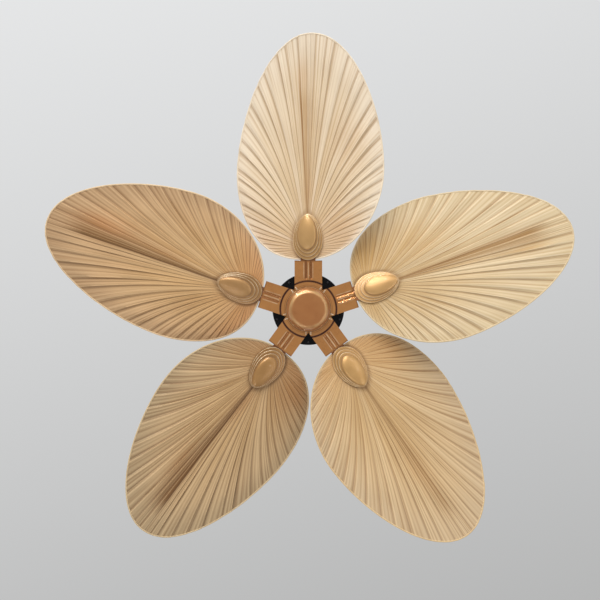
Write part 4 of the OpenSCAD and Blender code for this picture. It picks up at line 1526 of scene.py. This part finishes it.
    def masks(self, x: np.ndarray, y: np.ndarray) -> dict[str, np.ndarray]:
        """Works out where the midrib's band and lines, the warm patches, the darker root and the
        painted shadow round the medallion are.

        Args:
            x: how far along the leaf each point is.
            y: how far off its midrib.

        Returns:
            The strength of each mark at the points.
        """
        tone = self.tone
        out = (x - self.band_from).clip(0.0)
        band = self.band_half + out * math.tan(math.radians(tone.midrib_spread))
        offset = y - out * math.tan(math.radians(tone.midrib_lean))
        soft = (1 - offset / band).clip(0.0, 1.0) ** self.band_power * ease(offset, *self.band_edge)
        share, core = self.band_core
        soft = soft + share * (1 - np.abs(offset) / (core * band)).clip(0.0, 1.0)
        fade = 1 - ease(out, tone.midrib_reach - self.band_fade, tone.midrib_reach)
        blush = np.zeros_like(x)
        for patch in tone.blushes:
            blush += patch.strength * np.exp(-((x - patch.along) / patch.length) ** 2
                                             - ((y - patch.aside) / patch.width) ** 2)
        rib = sum(strength * np.exp(-((offset - at - share * band) / width) ** 2)
                  for at, share, width, strength in self.band_lines) * ease(out, 0.0, self.line_start)
        return {"midrib": soft * fade, "rib": rib * fade, "blush": blush.clip(0.0, 1.0),
                "root": np.exp(-((x - self.shape.root) / self.root_reach) ** 2),
                # seat: painted shadow round the medallion's outline
                "seat": np.exp(-(self.outside(x, y) / self.shadow_reach) ** 2)}

    def outside(self, x: np.ndarray, y: np.ndarray) -> np.ndarray:
        """Gives about how far outside the medallion each point is."""
        hub, tip, side = self.cast_reach
        along = (x - self.cast_at) / np.where(x < self.cast_at, hub, tip)
        return (np.hypot(along, y / side) - 1) * self.cast_scale

    def build(self) -> Object:
        """Folds a grid of faces into the leaf's underside and gives it its thickness.

        Returns:
            The leaf.
        """
        made = self.surface()
        piece = begun(f"palm_leaf_{self.number}", bpy.ops.mesh.primitive_grid_add,
                      x_subdivisions=self.lines - 1, y_subdivisions=self.rings - 1, size=1.0,
                      calc_uvs=True)
        order = {key: value.T.ravel() for key, value in made.items()
                 if value.shape == (self.lines, self.rings)}
        put_points(piece, np.stack([order["x"], order["y"], order["z"]], -1))
        corner = np.zeros(len(piece.data.loops), int)
        piece.data.loops.foreach_get("vertex_index", corner)
        fibre = np.stack([order["u"][corner], order["q"][corner]], -1)
        piece.data.uv_layers[0].data.foreach_set("uv", fibre.ravel())
        marks = {name: order[name] for name in ("fold", "fine")} | self.masks(order["x"], order["y"])
        for name, values in marks.items():
            put_mark(piece, name, values)
        with Bench(piece) as bench:
            bench.pick_all()
            bpy.ops.mesh.remove_doubles(threshold=2 * WELD)
            side, low, high = (size * MM for size in self.mouth)
            bench.pick(lambda vertex: vertex.is_boundary and abs(vertex.co.y) < side
                       and low < vertex.co.x < high)
            bpy.ops.mesh.edge_face_add()
            bench.pick_all()
            bpy.ops.mesh.normals_make_consistent(inside=False)
        if sum(face.normal.z * face.area for face in piece.data.polygons) > 0:
            with Bench(piece) as bench:
                bench.pick_all()
                bpy.ops.mesh.flip_normals()
        use_modifier(piece, "SOLIDIFY", thickness=self.thick * MM, offset=-1.0)
        smooth(piece, 60.0)
        return piece

    def build_hem(self) -> Object:
        """Shapes a ring into the bound strip, which follows the leaf's edge and its pleats.

        Returns:
            The hem.
        """
        made = self.surface()
        edge, inward, z = (made[key][:-1:self.hem_skip] for key in ("edge", "inward", "z"))
        z = z[:, -1]
        piece = begun(f"leaf_hem_{self.number}", bpy.ops.mesh.primitive_torus_add,
                      major_segments=len(edge), minor_segments=self.hem_sides, generate_uvs=True)
        turn = FULL_TURN * (np.arange(self.hem_sides) + 0.5) / self.hem_sides
        out, up = (np.sign(way) * np.abs(way) ** self.hem_square * size / 2
                   for way, size in ((np.cos(turn), self.hem_width), (np.sin(turn), self.hem_height)))
        middle = edge + inward * self.hem_width / 2
        plan = middle[:, None] - inward[:, None] * out[None, :, None]
        height = z[:, None] + self.thick / 2 + up[None, :]
        put_points(piece, np.concatenate([plan, height[..., None]], -1).reshape(-1, 3))
        with Bench(piece) as bench:
            bench.tidy()
        smooth(piece, 60.0)
        return piece


@dataclass
class Medallion:
    """Stepped egg-shaped casting under a leaf's root, drawn along +X."""

    root: float = 118.0
    length: float = 111.0
    width: float = 72.0
    belly: float = 0.405
    rim: float = 5.0
    gap: float = 1.0
    steps: int = 3
    step_height: float = 2.6
    step_in: Triple = (8.0, 1.2, 4.6)
    tread_drop: float = 0.6
    wall: Triple = (5.0, 5.0, 5.0)
    core: Triple = (32.0, 14.0, 17.8)
    floor: float = -4.5
    height: float = 20.0
    eye: float = 0.555
    crown_angles: tuple[int, ...] = (10, 20, 30, 40, 50, 60, 70, 78, 84)
    arm_bed: Triple = (138.0, 19.2, -3.5)
    around: int = 96
    tip_power: float = 1.22
    core_above: float = 1.0
    edge: float = 0.7
    edge_steps: int = 4
    foot_shade: Triple = (-0.62, 0.12, 0.5)

    def outline(self) -> np.ndarray:
        """Draws the full outline.

        Returns:
            Its points, in order around it.
        """
        turn = FULL_TURN * np.arange(self.around) / self.around
        widest = self.root + self.belly * self.length
        x = np.where(np.cos(turn) < 0, widest + (widest - self.root) * np.cos(turn),
                     widest + (self.root + self.length - widest) * np.cos(turn))
        sharp = np.where(np.cos(turn) < 0, 1.0, self.tip_power)
        y = self.width / 2 * np.sign(np.sin(turn)) * np.abs(np.sin(turn)) ** sharp
        return np.stack([x, y, np.zeros_like(x)], -1)

    def rings(self) -> list[tuple[Triple, float]]:
        """Lists the rings from the hollow over the rim and down the steps.

        Returns:
            For each, how far it is drawn in at the hub end, the tip and the sides, and its height.
        """
        hub, tip, side = self.step_in
        full, low = (0.0, 0.0, 0.0), -self.gap - self.rim
        rings = [(self.core, low - self.steps * self.step_height + self.core_above),
                 (self.core, self.floor), (self.wall, self.floor), (self.wall, -self.gap),
                 (full, -self.gap), (full, low)]
        for i in range(1, self.steps + 1):
            z = low - i * self.step_height
            drawn = (i * hub, i * tip, i * side)
            rings += [(drawn, z + self.step_height - self.tread_drop), (drawn, z)]
        return rings

    def build(self) -> Object:
        """Pulls the outline up and down from ring to ring, then closes the crown.

        Returns:
            The casting.
        """
        piece = begun("medallion_cast", bpy.ops.mesh.primitive_circle_add, vertices=self.around,
                      radius=self.width / 2 * MM, fill_type="NOTHING")
        put_points(piece, self.outline())
        rings = self.rings()
        shoulder = rings[-1][1]
        crown = self.height - self.rim - self.steps * self.step_height
        now, low = (0.0, 0.0, 0.0), 0.0
        with Bench(piece) as bench:
            bench.pick_all()
            for i, (drawn, z) in enumerate(rings):
                if i:
                    bench.pull((0.0, 0.0, 0.0))
                self.draw(bench, now, drawn)
                bench.move((0.0, 0.0, (z - low) * MM))
                if not i:
                    bpy.ops.mesh.edge_face_add()
                    bpy.ops.mesh.select_all(action="SELECT")
                now, low = drawn, z
            eye = self.root + self.eye * self.length
            share = 1.0
            for angle in self.crown_angles:
                turned = math.cos(math.radians(angle))
                bench.pull((0.0, 0.0, 0.0))
                bench.resize((turned / share, turned / share, 1.0), (eye * MM, 0.0, 0.0))
                z = shoulder - crown * math.sin(math.radians(angle))
                bench.move((0.0, 0.0, (z - low) * MM))
                share, low = turned, z
            bench.pull((0.0, 0.0, (shoulder - crown - low) * MM))
            bpy.ops.mesh.merge(type="CENTER")
            end, side, down = self.arm_bed
            bench.pick(lambda vertex: vertex.co.z > self.floor * MM + 10 * WELD
                       and vertex.co.x < end * MM and abs(vertex.co.y) < side * MM)
            bench.move((0.0, 0.0, down * MM))
            bench.tidy()
        round_edges(piece, self.edge, self.edge_steps)
        # painted shade at the foot of each step
        z = points_of(piece)[:, 2]
        feet = [-self.gap - self.rim - i * self.step_height - self.tread_drop
                for i in range(self.steps)]
        below, above, darkness = self.foot_shade
        hollow = sum(((z < foot + above) & (z > foot + below)).astype(float) for foot in feet)
        put_mark(piece, "hollow", darkness * hollow)
        smooth(piece, 50.0, weighted=True)
        return piece

    def draw(self, bench: Bench, now: Sequence[float], drawn: Sequence[float]) -> None:
        """Resizes the ring that is selected.

        Args:
            bench: the casting in edit mode.
            now: how far the ring is drawn in at the hub end, the tip and the sides.
            drawn: how far it has to be.
        """
        before = self.length - now[0] - now[1]
        after = self.length - drawn[0] - drawn[1]
        wide = (self.width / 2 - drawn[2]) / (self.width / 2 - now[2])
        long = after / before
        if abs(long - 1) < 1e-9:
            return
        start, end = self.root + now[0], self.root + drawn[0]
        fixed = (end - start * long) / (1 - long)
        bench.resize((long, wide, 1.0), (fixed * MM, 0.0, 0.0))


@dataclass
class BladeSet(Assembly):
    """Five arms with their leaves, hems, medallions and plates."""

    name: str = "blades"
    body: Body = Body.ROTOR
    tones: tuple[LeafTone, ...] = ()
    pitch: float = 13.0
    clamp: float = -268.0
    arm_low: float = -276.0
    bar_end: float = 116.5
    groove: Point = (66.0, 68.4)
    groove_deep: float = 4.2
    seam_from: float = 50.2
    seam_shade: float = 0.8
    flute_y: float = 5.8
    flute_w: float = 7.0
    flute_from: float = 73.9
    flute_deep: float = 2.5
    flute_cuts: tuple[float, ...] = (0.3, 0.5, 0.7, 0.88)
    flute_lengths: tuple[float, ...] = (76.0, 84.0, 94.0, 104.0, 113.0)
    # painted shade in each arm's flutes, set per arm for how light falls on it
    flute_shade: tuple[float, ...] = (0.55, 0.1, 0.4, 0.5, 0.5)
    flute_power: float = 0.714
    flute_least: float = 0.06
    slack: float = 0.05
    end_slack: float = 0.2
    ring_slack: float = 0.1
    skin: float = 0.5
    arm_edge: float = 0.8
    plate_edge: float = 0.4

    def turned(self, number: int) -> Matrix:
        """Gives the turn of a blade about the fan's axis."""
        return Matrix.Rotation(math.radians(90 + 72 * (number - 1)), 4, "Z")

    def pitched(self, number: int) -> Matrix:
        """Gives the place of a blade's pitched frame."""
        return (self.turned(number) @ Matrix.Translation((0, 0, self.clamp * MM))
                @ Matrix.Rotation(math.radians(-self.pitch), 4, "X"))

    def build(self) -> None:
        """Makes the leaves, hems and medallions, then the arms and plates."""
        pattern = Medallion().build()
        for number, tone in enumerate(self.tones, 1):
            leaf = PalmLeaf(number, tone)
            place = self.pitched(number) @ leaf.shape.place()
            fibre = PalmFibre(f"palm_fibre_{number}", Slot.PALM, tone=tone, pleats=leaf.pleats)
            self.stand_for(seat(leaf.build(), place), fibre, f"leaf_{number}")
            hem = StitchedHem(f"bound_edge_{number}", Slot.HEM, colour=tone.hem)
            self.stand_for(seat(leaf.build_hem(), place), hem, f"edge_binding_{number}")
            cast = seat(twin(pattern, f"medallion_cast_{number}"), self.pitched(number))
            # each casting's copy of the light gold is lighter or darker as painted light and shade
            # for its blade
            gold = replace(LIGHT_GOLD, name=f"light_gold_{number}", colour=tone.cast,
                           shade=tone.cast_shade)
            self.stand_for(cast, gold, f"medallion_{number}")
            self.build_arm(number)
        bpy.data.objects.remove(pattern)

    def in_flutes(self, own: np.ndarray) -> np.ndarray:
        """Tells which points of an arm, drawn along +X, are in one of its two flutes.

        Args:
            own: the points, one row each.

        Returns:
            True for each point that is in a flute or on its rim.
        """
        x, y, z = own.T
        aside = np.abs(np.abs(y) - self.flute_y)
        near = np.hypot((self.flute_from - x).clip(0.0), aside) < self.flute_w / 2 + self.slack
        low = z < self.arm_low + self.flute_deep + self.slack
        return near & (x < self.bar_end + self.end_slack) & low

    def hollow_flutes(self, arm: Object, number: int) -> None:
        """Rounds the two square flutes of an arm into troughs with sloping sides.

        Args:
            arm: the arm.
            number: the number of its blade.
        """
        turn = np.array(self.turned(number).to_3x3())
        cuts = [(turn @ (x, 0.0, 0.0), turn @ (1.0, 0.0, 0.0)) for x in self.flute_lengths]
        cuts += [((0.0, 0.0, self.arm_low + self.flute_deep * share), (0.0, 0.0, 1.0))
                 for share in self.flute_cuts]
        for at, facing in cuts:
            held = self.in_flutes(points_of(arm) @ turn)
            with Bench(arm) as bench:
                bench.pick(lambda vertex: bool(held[vertex.index]))
                bench.cut(at, facing)
        own = points_of(arm) @ turn
        held = self.in_flutes(own)
        x, y, z = own.T
        deep = ((z - self.arm_low) / self.flute_deep).clip(0.0, 1.0)
        width = np.maximum((1 - deep) ** self.flute_power, self.flute_least)
        middle = np.sign(y) * self.flute_y
        own[:, 1] = np.where(held, middle + (y - middle) * width, y)
        end = held & (x < self.flute_from)
        own[:, 0] = np.where(end, self.flute_from + (x - self.flute_from) * width, x)
        put_points(arm, own @ turn.T)

    def build_arm(self, number: int) -> None:
        """Refines one arm and the plate above its leaf, and marks where shade is painted on the arm.

        Args:
            number: the number of their blade.
        """
        node, plate = f"blade_arm_{number}", f"backing_plate_{number}"
        arm = refined(node, self.arm_edge, lambda piece: self.hollow_flutes(piece, number))
        own = points_of(arm) @ np.array(self.turned(number).to_3x3())
        x, y, z = own.T
        r = np.hypot(x, y)
        # painted shade in the ring groove, in the seams between the arms and in the flutes
        above = z > self.arm_low + self.skin
        in_ring = (r > self.groove[0] - self.ring_slack) & (r < self.groove[1] + self.ring_slack)
        deep = above & in_ring & (z < self.arm_low + self.groove_deep)
        seam = above & (r > self.seam_from) & (r < self.groove[0])
        flute = self.in_flutes(own) & (z > self.arm_low + self.flute_deep / 2)
        darkness = self.flute_shade[number - 1] * flute
        put_mark(arm, "hollow", np.maximum(deep + self.seam_shade * seam, darkness))
        self.stand_for(arm, ARM_GOLD, node)
        self.stand_for(refined(plate, self.plate_edge), ZINC, plate)


@dataclass(frozen=True)
class Lamp:
    """A broad distant lamp: where its light comes from, its strength and its breadth in degrees."""

    name: str
    source: Triple
    strength: float
    breadth: float

    def hang(self) -> None:
        """Adds the lamp."""
        bpy.ops.object.select_all(action="DESELECT")
        turn = (-Vector(self.source)).to_track_quat("-Z", "Y").to_euler()
        bpy.ops.object.light_add(type="SUN", location=Vector(self.source).normalized() * 2,
                                 rotation=turn)
        lamp = bpy.context.object
        lamp.name = self.name
        lamp.data.energy = self.strength
        lamp.data.angle = math.radians(self.breadth)
        # the floor lets only shadow rays through, so the lamps are sampled by those alone
        lamp.data.cycles.use_multiple_importance_sampling = False


@dataclass
class Studio:
    """Camera, lamps, pale surroundings and floor; places are in metres."""

    eye: Triple = (0.020, 0.022, -2.218)
    lens: float = 48.7
    film: float = 36.0
    floor_level: float = -2.6
    floor_size: float = 400.0
    floor_paint: tuple[Colour, Colour] = (seen(206, 206, 204), seen(216, 216, 215))
    ambient: Colour = (0.43, 0.43, 0.43 * 0.985, 1.0)
    white: Colour = (1.0, 1.0, 1.0, 1.0)
    near_corner: Colour = (0.98, 0.99, 1.0, 1.0)
    far_corner: Colour = (0.25, 0.249, 0.243, 1.0)
    fall: Triple = (0.133, 0.515, 0.517)
    overhead: Point = (0.35, 0.8)
    lamps: tuple[Lamp, ...] = (
        Lamp("window_side", (0.25, 0.72, -0.64), 2.0, 42.0),
        Lamp("window_top", (0.36, 0.93, 0.06), 2.0, 46.0),
        Lamp("far_wall", (-0.7, 0.5, -0.75), 0.34, 40.0),
        Lamp("near_wall", (0.4, -0.75, -0.75), 0.34, 40.0),
        Lamp("inner_wall", (-0.75, -0.4, -0.75), 0.34, 40.0),
        Lamp("ceiling_side", (0.4, -0.5, 0.8), 1.0, 60.0),
    )

    def surround(self) -> None:
        """Gives the world a pale fall of light from one corner to the other."""
        world = bpy.data.worlds.new("pale_room")
        bpy.context.scene.world = world
        world.use_nodes = True
        graph = Graph(world.node_tree)
        x, y, z = graph.split(graph.node("ShaderNodeTexCoord", out=0))
        across, along, middle = self.fall
        share = (y * along + x * across + middle).clamp()
        above = graph.mix(share, self.far_corner, self.near_corner)
        backdrop = graph.mix(z.step(*self.overhead), self.white, above)
        camera, glossy, transmission = (graph.node("ShaderNodeLightPath", out=i) for i in (0, 3, 6))
        looked_at = (camera + glossy + transmission).clamp()
        shade = graph.node("ShaderNodeBackground", {},
                           {0: graph.mix(looked_at, self.ambient, backdrop), 1: 1.0})
        output = world.node_tree.nodes.new("ShaderNodeOutputWorld")
        world.node_tree.links.new(shade.socket, output.inputs["Surface"])

    def floor(self) -> None:
        """Lays a plain pale floor far below the fan; lamps shine through it from beneath."""
        floor = begun("pale_floor", bpy.ops.mesh.primitive_plane_add, size=self.floor_size,
                      location=(0.0, 0.0, self.floor_level))
        bpy.ops.object.transform_apply(location=True, rotation=True, scale=True)
        coat = Coat("pale_floor_paint")
        cloud = coat.noise(coat.place(), 1.5, 4.0)
        coat.set(Base_Color=coat.mix(cloud, *self.floor_paint), Roughness=0.8)
        floor.data.materials.append(coat.material)
        floor.visible_shadow = False

    def camera(self) -> None:
        """Looks straight up at the hub from below."""
        bpy.ops.object.camera_add(location=self.eye, rotation=(0.0, math.pi, 0.0))
        camera = bpy.context.object
        camera.data.lens = self.lens
        camera.data.sensor_width = self.film
        bpy.context.scene.camera = camera

    def build(self) -> None:
        """Sets the whole stage."""
        self.camera()
        self.surround()
        self.floor()
        for lamp in self.lamps:
            lamp.hang()
        bpy.context.scene.view_settings.view_transform = "Standard"


def leaf_tones() -> tuple[LeafTone, ...]:
    """Lists the tones of the leaves.

    Returns:
        The five tones, in the order of the leaves' numbers.
    """
    # each leaf's tones carry painted light and shade for how light falls on its blade
    return (
        LeafTone(seen(211, 187, 152), seen(192, 163, 125), seen(178, 140, 92),
                 (Blush(565, -20, 45, 18, 0.6), Blush(190, 80, 60, 50, 0.8),
                  Blush(400, 95, 70, 45, 0.4), Blush(285, 0, 50, 13, 0.6)),
                 outer=seen(221, 203, 177), rim=seen(226, 210, 188), warm=seen(190, 150, 106),
                 pale=seen(230, 214, 192), crease=seen(138, 98, 52), hem=seen(232, 216, 192),
                 cast=seen(198, 157, 102), cast_shade=seen(176, 135, 84),
                 midrib_lean=-5.0, midrib_reach=345.0, midrib_strength=0.8, seed=1.0),
        LeafTone(seen(206, 180, 138), seen(184, 152, 106), seen(158, 120, 72),
                 (Blush(558, 20, 60, 16, 0.6), Blush(165, -80, 62, 55, 0.95),
                  Blush(285, -90, 60, 50, 0.5), Blush(285, 0, 50, 13, 0.5)),
                 outer=seen(206, 187, 154), rim=seen(196, 174, 136), warm=seen(188, 147, 86),
                 pale=seen(225, 210, 180), crease=seen(124, 88, 46), hem=seen(208, 188, 152),
                 cast=seen(205, 163, 106), cast_shade=seen(182, 138, 84),
                 midrib_lean=-4.2, midrib_spread=10.0, seed=2.3),
        LeafTone(seen(205, 172, 125), seen(181, 145, 97), seen(144, 105, 58),
                 (Blush(470, 10, 60, 20, 0.3), Blush(185, -110, 60, 45, 0.7)),
                 outer=seen(198, 172, 136), rim=seen(186, 162, 130), warm=seen(204, 153, 94),
                 pale=seen(224, 198, 158), crease=seen(106, 68, 32), hem=seen(204, 176, 132),
                 cast=seen(204, 162, 104), cast_shade=seen(180, 136, 80),
                 midrib_spread=6.5, midrib_strength=0.5, seed=3.7),
        LeafTone(seen(196, 160, 113), seen(166, 130, 85), seen(112, 75, 36),
                 (Blush(475, 26, 55, 24, 0.6), Blush(180, -90, 60, 50, 0.8),
                  Blush(280, -4, 55, 14, 0.7)),
                 outer=seen(183, 156, 120), rim=seen(160, 138, 106), warm=seen(160, 110, 62),
                 pale=seen(216, 186, 144), crease=seen(84, 54, 26), hem=seen(196, 172, 134),
                 cast=seen(176, 133, 79), cast_shade=seen(150, 108, 60),
                 midrib_spread=9.5, seed=4.1),
        LeafTone(seen(208, 168, 116), seen(182, 140, 90), seen(130, 92, 50),
                 (Blush(530, 34, 85, 30, 0.85), Blush(360, 20, 60, 18, 0.3)),
                 outer=seen(200, 164, 124), rim=seen(176, 142, 106), warm=seen(204, 138, 84),
                 pale=seen(222, 190, 146), crease=seen(92, 60, 30), hem=seen(222, 192, 152),
                 cast=seen(182, 141, 90), cast_shade=seen(156, 114, 68),
                 midrib_spread=9.5, seed=5.9),
    )


def assemblies() -> Iterable[Assembly]:
    """Lists the fan's sub-assemblies.

    Returns:
        Them all, from the ceiling down.
    """
    return (
        CeilingMount(kept={"hanger_bracket": (ZINC, 0.4), "canopy_screws": (GOLD, 0.2)}),
        HangingStem(kept={
            "hanger_ball": (STEEL, 0.4), "ball_cross_pin": (STEEL, 0.4),
            "ball_set_screw": (STEEL, 0.1), "lead_connector": (WHITE_PLASTIC, 0.4),
            "supply_leads": (LEAD, 0.0), "yoke": (ZINC, 0.4), "yoke_clevis_pin": (STEEL, 0.3),
            "cotter_pin": (STEEL, 0.0), "yoke_set_screws": (STEEL, 0.1)}),
        Motor(kept={
            "housing_screws": (ZINC, 0.2), "capacitor": (DARK_PLASTIC, 1.0),
            "motor_shaft": (STEEL, 0.4), "shaft_circlip": (STEEL, 0.1),
            "stator_core": (PLATES, 0.2), "stator_windings": (COPPER, 0.8)}),
        Assembly("turning shell", Body.ROTOR, {
            "upper_bearing": (STEEL, 0.4), "lower_bearing": (STEEL, 0.4),
            "rotor_can": (CASTING, 0.6), "rotor_cage": (PLATES, 0.2),
            "rotor_flange": (BLACK, 0.6), "shell_screws": (BLUED, 0.15),
            "arm_screws": (ZINC, 0.2), "leaf_screws": (ZINC, 0.2)}),
        HubCap(kept={"cap_plate": (ZINC, 0.3), "cap_plate_screws": (ZINC, 0.2)}),
        BladeSet(tones=leaf_tones()),
    )


def main() -> None:
    """Builds the fan and its stage."""
    logging.basicConfig(level=logging.INFO, format="%(name)s: %(message)s")
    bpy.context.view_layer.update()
    for assembly in assemblies():
        assembly.build()
        assembly.dress()
        log.info("%s done", assembly.name)
    Studio().build()


if __name__ == "__main__":
    main()
